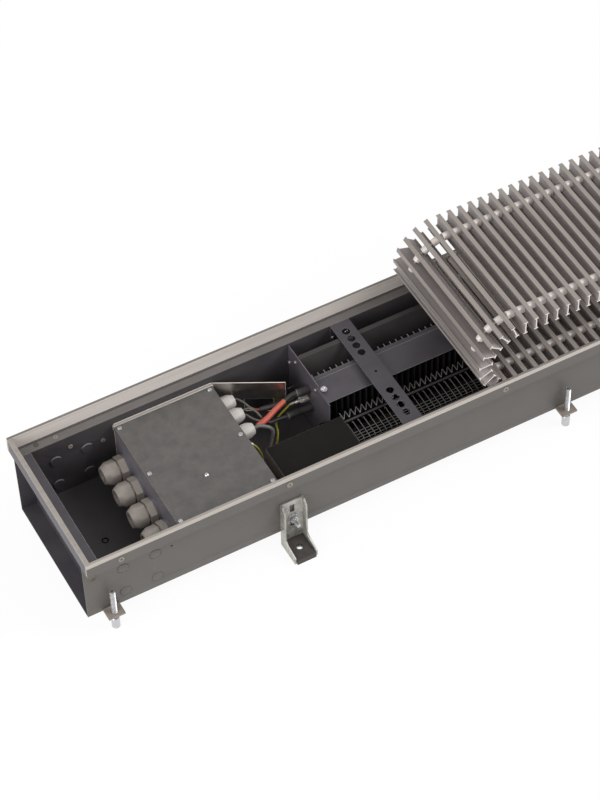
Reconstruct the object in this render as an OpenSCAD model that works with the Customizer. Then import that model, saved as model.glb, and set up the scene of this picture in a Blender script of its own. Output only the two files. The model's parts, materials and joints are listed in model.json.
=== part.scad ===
// Trench convector heater: an electric fan convector in a floor trench with a roll-up grille.
// Millimetres. X runs along the trench, +X away from the junction box. The near side is -Y.
// Z is up from the undersides of the levelling feet. The origin is below the middle of the trench.

/* [Trench] */
// Length of the trench over its frame
trench_len = 1386; // [1380:1:1392]
// Width over the frame
frame_width = 230; // [229:0.5:231]
// Height from the casing's underside to the top of the rim
casing_height = 125; // [124:0.5:126]
// How far each ledge stands out from the casing's body
ledge_overhang = 17.5; // [17:0.1:18]
// Thickness of the casing's sheet
sheet = 1.2; // [1:0.1:1.4]
// Height of the casing's underside above the feet
foot_drop = 27; // [26:0.5:28]
// Depth of the grille ledge below the rim
ledge_depth = 23; // [22.5:0.5:24]
// How far each end wall stands in from the end of the frame
end_inset = 21.4; // [20:0.2:22]

/* [Rim] */
// Width of the rim's top along the long sides
rim_width = 3.8; // [3:0.1:4]
// Width of the rim's top at the two ends
rim_end_width = 6; // [5:0.1:7]
// Height of the bright lip on the outside of the long sides
lip_height = 7; // [6:0.5:8]
// Height of the lip on the outside of the ends
end_lip_height = 2; // [1.5:0.5:3]

/* [Grille] */
// Distance between neighbouring bars
bar_pitch = 15.5; // [15.4:0.05:15.6]
// Gap between the bars' ends and the rims
bar_side_gap = 3.2; // [2.7:0.1:5]
// Height of each bar
bar_height = 20; // [19.5:0.1:20]
// Width of a bar's flanges
flange_width = 6; // [5:0.1:6.5]
// Thickness of a bar's flanges
flange_thick = 1.8; // [1.5:0.1:2.2]
// Thickness of a bar's web
web_thick = 1.6; // [1.4:0.1:1.8]
// Distance from the centre line to each row of spacers
rod_y = 78; // [74:0.5:80]
// Diameter of the spacer sleeves
sleeve_dia = 7.5; // [7:0.1:7.6]
// Diameter of the core that links the bars
core_dia = 3; // [2.6:0.1:3.2]
// Clearance of the links in the bars of the fold
link_gap = 0.1; // [0.1:0.05:0.2]
// Distance from the left end to the first bar of the flat part
fold_x = 592; // [590:1:594]
// Least gap between the last bar and the end of the frame
bar_end_gap = 6; // [4:0.5:8]
// Number of bars in the part folded back on top
upper_bars = 29; // [20:1:29]
// How much lower the folded bars' outer flanges are trimmed
fold_trim = 0.3; // [0.2:0.1:0.4]

/* [Feet and brackets] */
// Distance from the end of the frame to the outer levelling screws
screw_end = 32; // [31:0.5:34]
// Distance of the levelling screws from the body's wall
screw_out = 9.7; // [9.4:0.1:10]
// Diameter of the levelling screws
screw_dia = 8; // [7.8:0.1:8.2]
// Running clearance on the radius of the levelling screws
screw_gap = 0.05; // [0.03:0.01:0.08]
// Height of the top of the levelling screws
screw_top = 71.5; // [68:0.5:74]
// Diameter of the screws' feet
foot_dia = 11; // [10.5:0.5:12]
// Height of the screws' feet
foot_height = 19; // [16:0.5:20]
// Width and length of the screw tabs
tab_width = 23; // [22:0.5:24]
tab_len = 18; // [17:0.5:19]
// Thickness of the screw tabs
tab_thick = 3; // [2.5:0.1:3.5]
// Distance from the end of the frame to the anchor brackets
bracket_end = 287.5; // [284:0.5:290]
// Width of the anchor brackets
bracket_width = 33; // [32:0.5:34]
// Height of the anchor brackets
bracket_height = 82; // [80:0.5:84]
// Length of the anchor brackets' feet
bracket_foot = 37.5; // [36:0.5:39]
// Plate thickness of the anchor brackets
bracket_plate = 2.5; // [2.2:0.1:2.8]
// Diameter of the anchor hole
anchor_hole = 8.5; // [8:0.1:9]
// Diameter of the bracket bolts
bolt_dia = 6; // [5.8:0.1:6.2]

/* [Junction box] */
// Distance from the left end to the box
box_x = 135; // [134:0.5:136]
// Length of the box
box_len = 140; // [138:0.5:141]
// Distance of the lid from the trench's walls
box_gap = 6.3; // [5.3:0.1:8]
// Depth of the lid's top below the rim
lid_drop = 34; // [33:0.5:36]
// Thickness of the lid and of the box's walls
lid_thick = 3; // [2.5:0.1:3.2]
box_wall = 2.5; // [2.2:0.1:2.8]
// Size across flats of the large glands
large_flats = 29; // [28:0.5:30]
// Size across flats of the small glands
small_flats = 19; // [18:0.5:20]
// Height of the large glands above the feet
large_gland_z = 73; // [72:0.5:75]
// Height of the small glands above the feet
small_gland_z = 94; // [93:0.5:95]

/* [Heater and fan] */
// Distance from the box to the heater's left end plate
wiring_len = 114.7; // [114.5:0.1:116]
// Length of the heater between the outsides of its end plates
heater_len = 720; // [716:1:724]
// Thickness of the heater's sheets
plate_thick = 1.2; // [1:0.1:1.4]
// Distance between the heater's fins
fin_pitch = 8.9; // [8.8:0.05:9]
// Thickness of a fin
fin_thick = 0.8; // [0.6:0.1:1]
// Diameter of the heating rods
rod_dia = 8.5; // [8:0.1:8.8]
// Radius of the fan's rotor
rotor_radius = 27; // [26:0.5:28]
// Number of rotor blades
blades = 24; // [20:1:28]
// Diameter of the fan's shaft
shaft_dia = 6; // [5.8:0.1:6.2]
// Diameter of the fan's motor
motor_dia = 54; // [52:0.5:56]
// Distance between the wires of the fan guard
guard_pitch = 8; // [7.9:0.1:8.2]
// Thickness of the fan guard
guard_thick = 2; // [1.8:0.1:2.2]
// Width and thickness of the cross bars
cross_width = 28; // [27:0.5:29]
cross_thick = 1.5; // [1.2:0.1:1.8]

/* [Hidden] */
$fn = 32;
bit = 0.5;
half_len = trench_len / 2;
half_frame = frame_width / 2;
body_width = frame_width - 2 * ledge_overhang;
half_body = body_width / 2;
inner_half = half_body - sheet;
bar_len = frame_width - 2 * (rim_width + bar_side_gap);
heater_x = box_x + box_len + wiring_len;
fan_wall_gap = 41.3;
fan_y = fan_wall_gap - inner_half;
heater_fan_gap = 41;
heater_wall_gap = 0.2;
heater_near_y = fan_y + heater_fan_gap;
heater_far_y = inner_half - heater_wall_gap;
rim_top = foot_drop + casing_height;
floor_z = foot_drop + sheet;
ledge_z = rim_top - ledge_depth;
upstand_z = rim_top - lip_height;
ledge_out = ledge_overhang + sheet;
socket_flats = 4;
socket_depth = 5;
foot_floor = 3;
hinge_count = 9;
lower_bars = 1 + floor((trench_len - rim_end_width - bar_end_gap - flange_width / 2 - fold_x) / bar_pitch);
// Turn of each hinge of the fold in degrees, from the flat part to the part on top
fold_turns = [32, 21, 14, 21, 20, 19, 16, 16, 21];
rod_z = ledge_z + bar_height / 2;
sleeve_gap = 3.6;
knuckle_len = 2;
// Radius that a knuckle sweeps in the web and sleeve around it
knuckle_reach = norm([core_dia, knuckle_len]) / 2 + link_gap;
hole_gap = 0.1;

// Place across the heater, from its near edge at 0 to its far edge at 1
function heater_y(share) = heater_near_y + share * (heater_far_y - heater_near_y);
function turn(k) = k == 0 ? 0 : turn(k - 1) + fold_turns[k - 1];
function pivot(k) = k == 0 ? [fold_x, rod_z] : pivot(k - 1) + bar_pitch * [-cos(turn(k)), sin(turn(k))];
// Radius that a link's core reaches from its centre line inside the web it turns in
function core_reach(a) = core_dia / 2 * cos(a) + tan(a) * (web_thick / 2 + core_dia / 2 * sin(a));
function ring(center, along, radius, sides, flat_ref) =
  let (u = cross(along, flat_ref) / norm(cross(along, flat_ref)), v = cross(u, along))
  [for (i = [0:sides - 1]) center + radius * (cos(360 * i / sides) * u + sin(360 * i / sides) * v)];
function unit(v) = v / norm(v);
function along_at(route, i) =
  i == 0 ? unit(route[1] - route[0])
  : i == len(route) - 1 ? unit(route[i] - route[i - 1])
  : unit(unit(route[i + 1] - route[i]) + unit(route[i] - route[i - 1]));

// Shared helpers

module from_left(x = 0, y = 0, z = 0) translate([x - half_len, y, z]) children();
module both_sides() {
  children();
  mirror([0, 1, 0]) children();
}
module both_ends() {
  children();
  mirror([1, 0, 0]) children();
}
module extrude_x(length) rotate([90, 0, 90]) linear_extrude(length) children();
module rod_x(length, dia) rotate([0, 90, 0]) cylinder(h = length, d = dia);
module rod_y_in(length, dia) rotate([-90, 0, 0]) cylinder(h = length, d = dia);
module hex_x(length, flats) rotate([0, 90, 0]) cylinder(h = length, d = flats / cos(30), $fn = 6);
module hex_y(length, flats) rotate([-90, 0, 0]) cylinder(h = length, d = flats / cos(30), $fn = 6);
module tube(route, dia, flat_ref = [0, 0, 1], sides = 8) {
  rings = [for (i = [0:len(route) - 1]) each ring(route[i], along_at(route, i), dia / 2, sides, flat_ref)];
  last = (len(route) - 1) * sides;
  walls = [for (k = [0:len(route) - 2], i = [0:sides - 1])
    [k * sides + i, k * sides + (i + 1) % sides, (k + 1) * sides + (i + 1) % sides, (k + 1) * sides + i]];
  start_cap = [[for (i = [0:sides - 1]) sides - 1 - i]];
  end_cap = [[for (i = [0:sides - 1]) last + i]];
  polyhedron(points = rings, faces = concat(walls, start_cap, end_cap));
}

// Casing: one bent sheet with floor, walls, ledges and upstands

knock_dia = 16;
knock_groove = 0.8;
knock_depth = 0.35;
knock_x = [53.5, 98];
knock_drop = [58.5, 105];
cable_hole = [70.7, -1.3];
cable_hole_dia = 6;
wall_hole = [120.7, 57];
wall_hole_dia = 3.5;
corner_hole = [12.6, 52.5];
corner_hole_dia = 5;
dimple_x = 33.9;
dimple_in = 10.2;
dimple_dia = 5;
dimple_depth = 0.6;
bracket_bolt_z = 50;
cross_pitch = 284.2;
cross_shift = 0.3;
cross_x = [for (i = [-1:1]) heater_x + heater_len / 2 + cross_shift + i * cross_pitch];
cross_rivet_x = 10;
cross_rivet_z = 106;
rivet_dia = 3;

module casing_section() {
  translate([-half_body, foot_drop]) square([body_width, sheet]);
  for (side = [0, 1]) mirror([side, 0]) {
    translate([inner_half, foot_drop]) square([sheet, ledge_z - foot_drop]);
    translate([inner_half, ledge_z - sheet]) square([ledge_out, sheet]);
    translate([half_frame - sheet, ledge_z - sheet]) square([sheet, upstand_z - ledge_z + sheet]);
  }
}
module knock_ring() {
  difference() {
    rod_y_in(2 * knock_depth, knock_dia + knock_groove);
    translate([0, -bit, 0]) rod_y_in(2 * knock_depth + 2 * bit, knock_dia - knock_groove);
  }
}
module wall_cut(x, drop, dia) {
  from_left(x, inner_half - bit, rim_top - drop) rod_y_in(sheet + 2 * bit, dia);
}
module casing() color([0.4, 0.39, 0.38]) difference() {
  from_left() extrude_x(trench_len) casing_section();
  both_sides() both_ends() {
    for (x = knock_x, drop = knock_drop) {
      from_left(x, half_body - knock_depth, rim_top - drop) knock_ring();
      from_left(x, inner_half - knock_depth, rim_top - drop) knock_ring();
    }
    wall_cut(bracket_end, rim_top - bracket_bolt_z, bolt_dia + 2 * hole_gap);
    from_left(dimple_x, half_frame - dimple_in, ledge_z - dimple_depth) cylinder(h = sheet, d = dimple_dia);
  }
  mirror([0, 1, 0]) both_ends() {
    wall_cut(wall_hole.x, wall_hole[1], wall_hole_dia);
    wall_cut(corner_hole.x, corner_hole[1], corner_hole_dia);
  }
  both_sides() for (x = cross_x, side = [-1, 1])
    wall_cut(x + side * cross_rivet_x, rim_top - cross_rivet_z, rivet_dia + 2 * hole_gap);
  from_left(cable_hole.x, cable_hole[1], foot_drop - bit) cylinder(h = sheet + 2 * bit, d = cable_hole_dia);
}

// End walls: wall, ledge and upstand at each end

module end_wall() {
  from_left(end_inset, -inner_half, floor_z) cube([sheet, 2 * inner_half, ledge_z - floor_z]);
  from_left(0, -inner_half, ledge_z - sheet) cube([end_inset + sheet, 2 * inner_half, sheet]);
  from_left(0, rim_width - half_frame, ledge_z)
    cube([sheet, frame_width - 2 * rim_width, ledge_depth - end_lip_height]);
}
module end_walls() color([0.38, 0.36, 0.39]) both_ends() end_wall();

// Rim profiles of bright metal

module rim_sides() color([0.78, 0.75, 0.71]) both_sides() from_left() extrude_x(trench_len) {
  translate([half_frame - rim_width, ledge_z]) square([rim_width - sheet, ledge_depth]);
  translate([half_frame - sheet, upstand_z]) square([sheet, lip_height]);
}
module rim_ends() color([0.62, 0.6, 0.57]) both_ends() {
  from_left(sheet, rim_width - half_frame, ledge_z)
    cube([rim_end_width - sheet, frame_width - 2 * rim_width, ledge_depth]);
  from_left(0, rim_width - half_frame, rim_top - end_lip_height)
    cube([sheet, frame_width - 2 * rim_width, end_lip_height]);
}

// Levelling screws: six tabs, and six screws with feet

screw_x = half_len - screw_end;
screw_y = half_body + screw_out;
screw_places = [[-screw_x, -screw_y], [0, -screw_y], [screw_x, -screw_y],
  [-screw_x, screw_y], [0, screw_y], [screw_x, screw_y]];

module screw_tabs() color([0.5, 0.46, 0.42]) both_sides() for (x = [-screw_x, 0, screw_x]) difference() {
  translate([x - tab_width / 2, half_body, foot_drop]) cube([tab_width, tab_len, tab_thick]);
  translate([x, screw_y, foot_drop - bit]) cylinder(h = tab_thick + 2 * bit, d = screw_dia + 2 * screw_gap);
}
module level_screw(index) {
  place = screw_places[index - 1];
  translate(place) {
    color([0.8, 0.8, 0.82]) difference() {
      translate([0, 0, foot_floor]) cylinder(h = screw_top - foot_floor, d = screw_dia);
      translate([0, 0, screw_top - socket_depth])
        cylinder(h = socket_depth + bit, d = socket_flats / cos(30), $fn = 6);
    }
    color([0.74, 0.74, 0.75]) difference() {
      cylinder(h = foot_height, d = foot_dia);
      translate([0, 0, foot_floor]) cylinder(h = foot_height, d = screw_dia);
    }
  }
}

// Anchor brackets with pads, bolts and nuts

bracket_gap = 0.3;
bracket_depth = 12.5;
bracket_lift = 0.5;
flange_low = 10.5;
flange_high = 16;
flange_chamfer = 4;
slot_width = 6.4;
slot_low = [31, 54];
slot_high = [60, 74];
anchor_out = 19.6;
pad_top = 8.5;
pad_side_gap = 0.4;
pad_back_gap = 0.5;
pad_nose = 2;
pad_hole = 9.5;
nut_flats = 10;
nut_thick = 5;
washer_dia = 13;
washer_thick = 1.2;
head_thick = 4;
bolt_end = 20;
face_gap = 0.1;
bracket_x = half_len - bracket_end;
bracket_places = [[-1, -1], [1, -1], [-1, 1], [1, 1]];

module at_bracket(index) {
  place = bracket_places[index - 1];
  mirror([place.x < 0 ? 0 : 1, 0, 0]) mirror([0, place.y < 0 ? 0 : 1, 0])
    translate([-bracket_x, -half_body, 0]) children();
}
module slot_cut(span) {
  translate([-slot_width / 2, -bracket_depth, span[0]])
    cube([slot_width, bracket_depth + bit, span[1] - span[0]]);
}
module bracket(index) color([0.5, 0.5, 0.47]) at_bracket(index) translate([0, -bracket_gap, 0]) difference() {
  union() {
    translate([-bracket_width / 2, -bracket_plate, bracket_lift])
      cube([bracket_width, bracket_plate, bracket_height - bracket_lift]);
    translate([-bracket_width / 2, -bracket_foot, bracket_lift])
      cube([bracket_width, bracket_foot, bracket_plate]);
    for (x = [-bracket_width / 2, bracket_width / 2 - bracket_plate])
      translate([x, 0, 0]) extrude_x(bracket_plate) polygon([[0, bracket_lift], [-bracket_foot, bracket_lift],
        [-bracket_foot, flange_low], [-bracket_depth - flange_chamfer, flange_high],
        [-bracket_depth, flange_high + flange_chamfer], [-bracket_depth, bracket_height - 2 * flange_chamfer],
        [-bracket_plate - flange_chamfer, bracket_height], [0, bracket_height]]);
  }
  slot_cut(slot_low);
  slot_cut(slot_high);
  translate([0, -anchor_out, 0]) cylinder(h = bracket_depth, d = anchor_hole);
}
module pad(index) color([0.24, 0.23, 0.22]) at_bracket(index) translate([0, -bracket_gap, 0]) {
  pad_width = bracket_width - 2 * bracket_plate - 2 * pad_side_gap;
  pad_bottom = bracket_lift + bracket_plate;
  pad_back = bracket_plate + pad_back_gap;
  difference() {
    translate([-pad_width / 2, -bracket_foot - pad_nose, pad_bottom])
      cube([pad_width, bracket_foot + pad_nose - pad_back, pad_top - pad_bottom]);
    translate([0, -anchor_out, 0]) cylinder(h = 2 * pad_top, d = pad_hole);
  }
  translate([-pad_width / 2, -bracket_foot - pad_nose, 0]) cube([pad_width, pad_nose, pad_bottom]);
}
module bracket_bolts() color([0.75, 0.75, 0.77]) for (index = [1:4]) at_bracket(index)
  translate([0, 0, bracket_bolt_z]) {
    translate([0, -bolt_end, 0]) rod_y_in(bolt_end + sheet, bolt_dia);
    translate([0, sheet, 0]) hex_y(head_thick, nut_flats);
  }
module bracket_nuts() color([0.7, 0.72, 0.72]) for (index = [1:4]) at_bracket(index)
  translate([0, -bracket_gap - bracket_plate - face_gap, bracket_bolt_z]) difference() {
    union() {
      translate([0, -washer_thick, 0]) rod_y_in(washer_thick, washer_dia);
      translate([0, -washer_thick - nut_thick, 0]) hex_y(nut_thick, nut_flats);
    }
    translate([0, -bolt_end, 0]) rod_y_in(bolt_end + bit, bolt_dia);
  }

// Junction box with lid, glands, board and terminals

box_top = rim_top - lid_drop;
box_base_z = floor_z;
box_body_top = box_top - lid_thick;
lid_edge = 0.8;
box_width = 2 * (inner_half - box_gap);
lid_screw_inset = 5.5;
lid_screw_side = 4.5;
lid_screw_x = [lid_screw_inset, box_len - lid_screw_inset];
lid_screw_y = [lid_screw_side - box_width / 2, 0, box_width / 2 - lid_screw_side];
lid_screw_dia = 4;
lid_head_dia = 7;
lid_head_height = 1.6;
post_size = 5.8;
stud_place = [67, -36.6];
stud_flats = 6;
stud_height = 5;
stud_dia = 4;
large_gland_step = 40;
large_gland_side = 29;
large_gaps = floor((box_width - 2 * large_gland_side) / large_gland_step);
large_gland_y = [for (i = [0:large_gaps]) (i - large_gaps / 2) * large_gland_step];
small_gland_in = [17, 41.5, 70.5];
small_gland_y = [for (in = small_gland_in) box_width / 2 - in];
locknut_share = 1.15;
base_share = 1.06;
neck_share = 0.86;
cap_root_share = 1.5;
cap_round_share = 1.1;
cap_tip_share = 0.8;
large_boss = 34;
large_boss_len = 4;
large_base_len = 9;
large_gap_len = 2.5;
large_cap_len = 20;
large_thread = 25;
large_bore = 17;
small_thread = 16;
small_base_len = 4;
small_gap_len = 1.5;
small_cap_len = 17;
small_bore = 3;
locknut_len = 5;
board_side_gap = 15;
board_size = [70, box_width - 2 * board_side_gap, 1.6];
board_lift = 14;
board_in = 40;
chip_size = [28, 34, 20];
chip_x = 45;
chip_shares = [-0.4, -0.07, 0.27];
spacer_dia = 6;
terminal_side_gap = 30;
terminal_size = [16, box_width - 2 * terminal_side_gap, 24];
terminal_in = 14;

module box_body() color([0.38, 0.36, 0.37]) from_left(box_x) difference() {
  union() {
    difference() {
      translate([lid_edge, lid_edge - box_width / 2, box_base_z])
        cube([box_len - 2 * lid_edge, box_width - 2 * lid_edge, box_body_top - box_base_z]);
      translate([lid_edge + box_wall, lid_edge + box_wall - box_width / 2, box_base_z + box_wall])
        cube([box_len - 2 * (lid_edge + box_wall), box_width - 2 * (lid_edge + box_wall), rim_top]);
    }
    for (x = [lid_edge + box_wall, box_len - lid_edge - box_wall - post_size], y = lid_screw_y)
      translate([x, y - post_size / 2, box_base_z + bit])
        cube([post_size, post_size, box_body_top - box_base_z - bit]);
    for (y = large_gland_y)
      translate([lid_edge - large_boss_len, y, large_gland_z]) rod_x(large_boss_len, large_boss);
  }
  for (y = large_gland_y)
    translate([-large_boss_len, y, large_gland_z])
      rod_x(2 * large_boss_len + box_wall, large_thread + 2 * hole_gap);
  for (y = small_gland_y)
    translate([box_len - lid_edge - box_wall - bit, y, small_gland_z])
      rod_x(box_wall + 2 * bit, small_thread + 2 * hole_gap);
  for (x = lid_screw_x, y = lid_screw_y)
    translate([x, y, box_body_top - 3 * post_size])
      cylinder(h = 3 * post_size + bit, d = lid_screw_dia + 2 * hole_gap);
}
module box_lid() color([0.41, 0.4, 0.39]) from_left(box_x) difference() {
  translate([0, -box_width / 2, box_body_top]) cube([box_len, box_width, lid_thick]);
  for (x = lid_screw_x, y = lid_screw_y)
    translate([x, y, box_body_top - bit])
      cylinder(h = lid_thick + 2 * bit, d = lid_screw_dia + 2 * hole_gap);
}
module lid_screws() color([0.7, 0.69, 0.68]) from_left(box_x)
  for (x = lid_screw_x, y = lid_screw_y) {
    translate([x, y, box_top]) cylinder(h = lid_head_height, d = lid_head_dia);
    translate([x, y, box_top - lid_thick - 2 * post_size])
      cylinder(h = lid_thick + 2 * post_size + lid_head_height / 2, d = lid_screw_dia);
  }
module earth_stud() color([0.75, 0.74, 0.72]) from_left(box_x + stud_place.x, stud_place[1], box_top) {
  cylinder(h = stud_height / 2, d = 2 * stud_dia);
  cylinder(h = stud_height, d = stud_flats / cos(30), $fn = 6);
}
module gland(boss_len, base_len, gap_len, cap_len, flats, thread, bore) difference() {
  union() {
    translate([-box_wall - locknut_len, 0, 0]) rod_x(box_wall + locknut_len + boss_len, thread);
    translate([-box_wall - locknut_len, 0, 0]) rod_x(locknut_len, locknut_share * thread);
    translate([boss_len, 0, 0]) hex_x(base_len, base_share * flats);
    translate([boss_len + base_len, 0, 0]) rod_x(gap_len, neck_share * flats);
    translate([boss_len + base_len + gap_len, 0, 0]) intersection() {
      hex_x(cap_len, flats);
      rod_x(cap_len, cap_round_share * flats);
      rotate([0, 90, 0]) cylinder(h = cap_len, d1 = cap_root_share * flats, d2 = cap_tip_share * flats);
    }
  }
  translate([-box_wall - locknut_len - bit, 0, 0])
    rod_x(box_wall + locknut_len + boss_len + base_len + gap_len + cap_len + 2 * bit, bore);
}
module large_glands() color([0.47, 0.44, 0.41]) from_left(box_x + lid_edge) for (y = large_gland_y)
  translate([0, y, large_gland_z]) mirror([1, 0, 0])
    gland(large_boss_len, large_base_len, large_gap_len, large_cap_len, large_flats, large_thread, large_bore);
module small_glands() color([0.72, 0.7, 0.69]) from_left(box_x + box_len - lid_edge) for (y = small_gland_y)
  translate([0, y, small_gland_z])
    gland(0, small_base_len, small_gap_len, small_cap_len, small_flats, small_thread, small_bore);
module control_board() color([0.2, 0.4, 0.25]) from_left(box_x + board_in, 0, box_base_z + box_wall) {
  translate([0, -board_size.y / 2, board_lift]) cube(board_size);
  for (share = chip_shares)
    translate([chip_x - chip_size.x / 2, share * board_size.y, board_lift + board_size.z]) cube(chip_size);
  for (x = [spacer_dia, board_size.x - spacer_dia], side = [-1, 1])
    translate([x, side * (board_size.y / 2 - spacer_dia), 0]) cylinder(h = board_lift, d = spacer_dia);
}
module terminal_block() color([0.75, 0.72, 0.62])
  from_left(box_x + terminal_in, -terminal_size.y / 2, box_base_z + box_wall) cube(terminal_size);

// Bright cable guard plate along the far wall, with its slanted wing

guard_plate_in = 2;
guard_plate_over = 1;
guard_plate_x = [box_x + guard_plate_in, box_x + box_len + guard_plate_over];
guard_plate_gap = 1.3;
guard_plate_y = inner_half - guard_plate_gap;
guard_plate_drop = [34, 100];
wing_reach = [84, 46.5];
wing_end = [guard_plate_x[1] + wing_reach.x, guard_plate_y - wing_reach.y];
wing_window = [38, 24];
wing_window_z = 62;
wing_window_at = 42;
guard_plate_thick = 1;

module guard_plate() color([0.66, 0.64, 0.63]) {
  wing = [wing_end.x - guard_plate_x[1], wing_end[1] - guard_plate_y];
  lean = atan2(wing[1], wing.x);
  side = guard_plate_thick * [-sin(lean), cos(lean)];
  low = rim_top - guard_plate_drop[1];
  difference() {
    from_left(0, 0, low) linear_extrude(guard_plate_drop[1] - guard_plate_drop[0]) polygon([
      [guard_plate_x[0], guard_plate_y], [guard_plate_x[1], guard_plate_y], wing_end, wing_end + side,
      [guard_plate_x[1] - guard_plate_thick * tan(lean / 2), guard_plate_y + guard_plate_thick],
      [guard_plate_x[0], guard_plate_y + guard_plate_thick]]);
    from_left(guard_plate_x[1], guard_plate_y, wing_window_z) rotate([0, 0, lean])
      translate([wing_window_at, -bit, 0]) cube([wing_window.x, guard_plate_thick + 2 * bit, wing_window[1]]);
  }
}

// Cables: routes from the left end of the trench

upper_route = [[296.7, 73, 94], [301, 73, 94], [306, 64, 94], [310, 54, 92], [317, 47, 90],
  [327, 45, 89], [337, 44, 88], [350, 43, 87], [366, 44, 87], [380, 46, 88], [389.7, 46, 88]];
red_route = [[296.7, 45, 92], [300, 45, 92], [304, 36, 92], [309, 28, 93], [315, 25, 93], [323, 27, 93],
  [335, 33, 93], [347, 38, 93], [357, 41, 94], [366, 45, 95], [372, 46, 95], [376, 43.5, 96],
  [379.5, 41, 96], [381.7, 41, 96]];
lower_route = [[296.7, 51, 96], [300, 51, 96], [306, 48, 98], [312, 41, 96], [316, 35, 89], [320, 31, 82],
  [327, 29, 78], [338, 31, 75], [352, 31, 73], [365, 33, 70], [376, 34, 68], [381.7, 34, 68]];
motor_route = [[296.7, 19.5, 94], [300, 19.5, 94], [305, 19, 94], [311, 17, 92], [318, 14, 88],
  [321, 12, 81], [318, 10, 71], [313, 6, 61], [308, 0, 53], [303, -8, 47], [300, -18, 45], [298, -29, 48], [300, -37, 52], [303, -38, 52],
  [306, -38, 52]];
earth_route = [[375, 42, 79.2], [372.5, 42, 79.2], [369, 43.5, 77.5], [364, 46, 74], [352, 44, 68],
  [344, 42, 64], [338, 36, 60], [335, 26, 57], [331, 20, 51], [327, 17, 42], [326, 16, 34], [326, 16, 28.2]];
link_route = [[274.2, 18, 76], [277, 18, 76], [282, 17, 76], [288, 14, 75], [294, 8, 71], [297, 3, 64],
  [298, 0, 56], [298, -2, 46], [298, -3, 36], [298, -3, 28.2]];
upper_dia = 3.6;
red_dia = 5.4;
lower_dia = 4.4;
motor_cable_dia = 5;
earth_dia = 2.6;

module cable_upper() color([0.25, 0.24, 0.24]) from_left() tube(upper_route, upper_dia);
module cable_red() color([0.75, 0.35, 0.29]) from_left() tube(red_route, red_dia);
module cable_lower() color([0.22, 0.22, 0.22]) from_left() tube(lower_route, lower_dia);
module cable_motor() color([0.45, 0.45, 0.45]) from_left() tube(motor_route, motor_cable_dia, [1, 0, 1]);
module earth_wire() color([0.65, 0.62, 0.15]) from_left() tube(earth_route, earth_dia, [1, 0.5, 0]);
module earth_link() color([0.65, 0.62, 0.15]) from_left() tube(link_route, earth_dia, [1, 0, 1]);

// Heater: end plates, fins, rods, terminals, deflector and front sheet

end_top_drop = 25.5;
end_notch_drop = 33.2;
end_notch_share = 0.2725;
end_notch_y = heater_y(end_notch_share);
end_slope_z = [89, 51];
fin_shares = [0.0727, 0.5359];
fin_y = [for (share = fin_shares) heater_y(share)];
fin_z = [40, 116];
fin_base = 3;
fin_in = 6;
rod_shares = [0.4905, 0.436];
rod_heights = [96, 68];
rod_places = [for (i = [0:1]) [heater_y(rod_shares[i]), rod_heights[i]]];
rod_out = 4;
rod_hole_gap = 0.1;
cap_len = 8;
cap_dia = 12;
lug_width = 6;
lug_thick = 1.2;
lug_share = 0.5086;
lug_reach = 14.7;
lug_z = 78.6;
deflector_shares = [0.7956, 0.7357, 0.6721, 0.6085, 0.5722, 0.5631];
deflector_drop = [0, 0, 15, 43, 71, 91];
deflector_top = 25;
front_shares = [0.0318, 0.404, 0.436];
front_y = [for (share = front_shares) heater_y(share)];
front_lip = 4;

module at_heater_ends() {
  from_left(heater_x) children();
  from_left(heater_x + heater_len - plate_thick) children();
}
module heater_ends() color([0.32, 0.3, 0.33]) at_heater_ends() difference() {
  extrude_x(plate_thick) polygon([[heater_far_y, floor_z], [heater_far_y, rim_top - end_top_drop],
    [end_notch_y, rim_top - end_top_drop], [end_notch_y, rim_top - end_notch_drop],
    [heater_near_y, rim_top - end_notch_drop], [heater_near_y, end_slope_z[0]],
    [end_notch_y, end_slope_z[1]], [end_notch_y, floor_z]]);
  for (place = rod_places)
    translate([-bit, place.x, place[1]]) rod_x(plate_thick + 2 * bit, rod_dia + 2 * rod_hole_gap);
}
module fin_block() color([0.3, 0.3, 0.3]) {
  fin_count = floor((heater_len - 2 * fin_in) / fin_pitch);
  difference() {
    from_left(heater_x + fin_in) {
      for (i = [0:fin_count]) translate([i * fin_pitch, fin_y[0], fin_z[0]])
        cube([fin_thick, fin_y[1] - fin_y[0], fin_z[1] - fin_z[0]]);
      translate([0, fin_y[0], fin_z[0] - fin_base]) cube([fin_count * fin_pitch + fin_thick,
        fin_y[1] - fin_y[0], fin_base]);
    }
    for (place = rod_places) from_left(heater_x, place.x, place[1]) rod_x(heater_len, rod_dia);
  }
}
module heating_rods() color([0.45, 0.42, 0.4]) for (place = rod_places)
  from_left(heater_x - rod_out, place.x, place[1]) rod_x(heater_len + 2 * rod_out, rod_dia);
module terminal_caps() color([0.2, 0.19, 0.18]) {
  for (place = rod_places)
    from_left(heater_x - rod_out - cap_len / 2, place.x, place[1]) difference() {
      rod_x(cap_len, cap_dia);
      translate([cap_len / 2, 0, 0]) rod_x(cap_len, rod_dia);
    }
  from_left(heater_x - lug_reach, heater_y(lug_share) - lug_width / 2, lug_z)
    cube([lug_reach, lug_width, lug_thick]);
}
module rear_deflector() color([0.33, 0.32, 0.33]) {
  last = len(deflector_shares) - 1;
  y = [for (share = deflector_shares) heater_y(share)];
  z = [for (drop = deflector_drop) rim_top - deflector_top - drop];
  outer = [for (i = [0:last]) [y[i], z[i]]];
  inner = [for (i = [last:-1:0]) [y[i] + (i == 0 ? 0 : plate_thick), z[i] - plate_thick]];
  from_left(heater_x + plate_thick) extrude_x(heater_len - 2 * plate_thick) polygon(concat(outer, inner));
}
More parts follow.
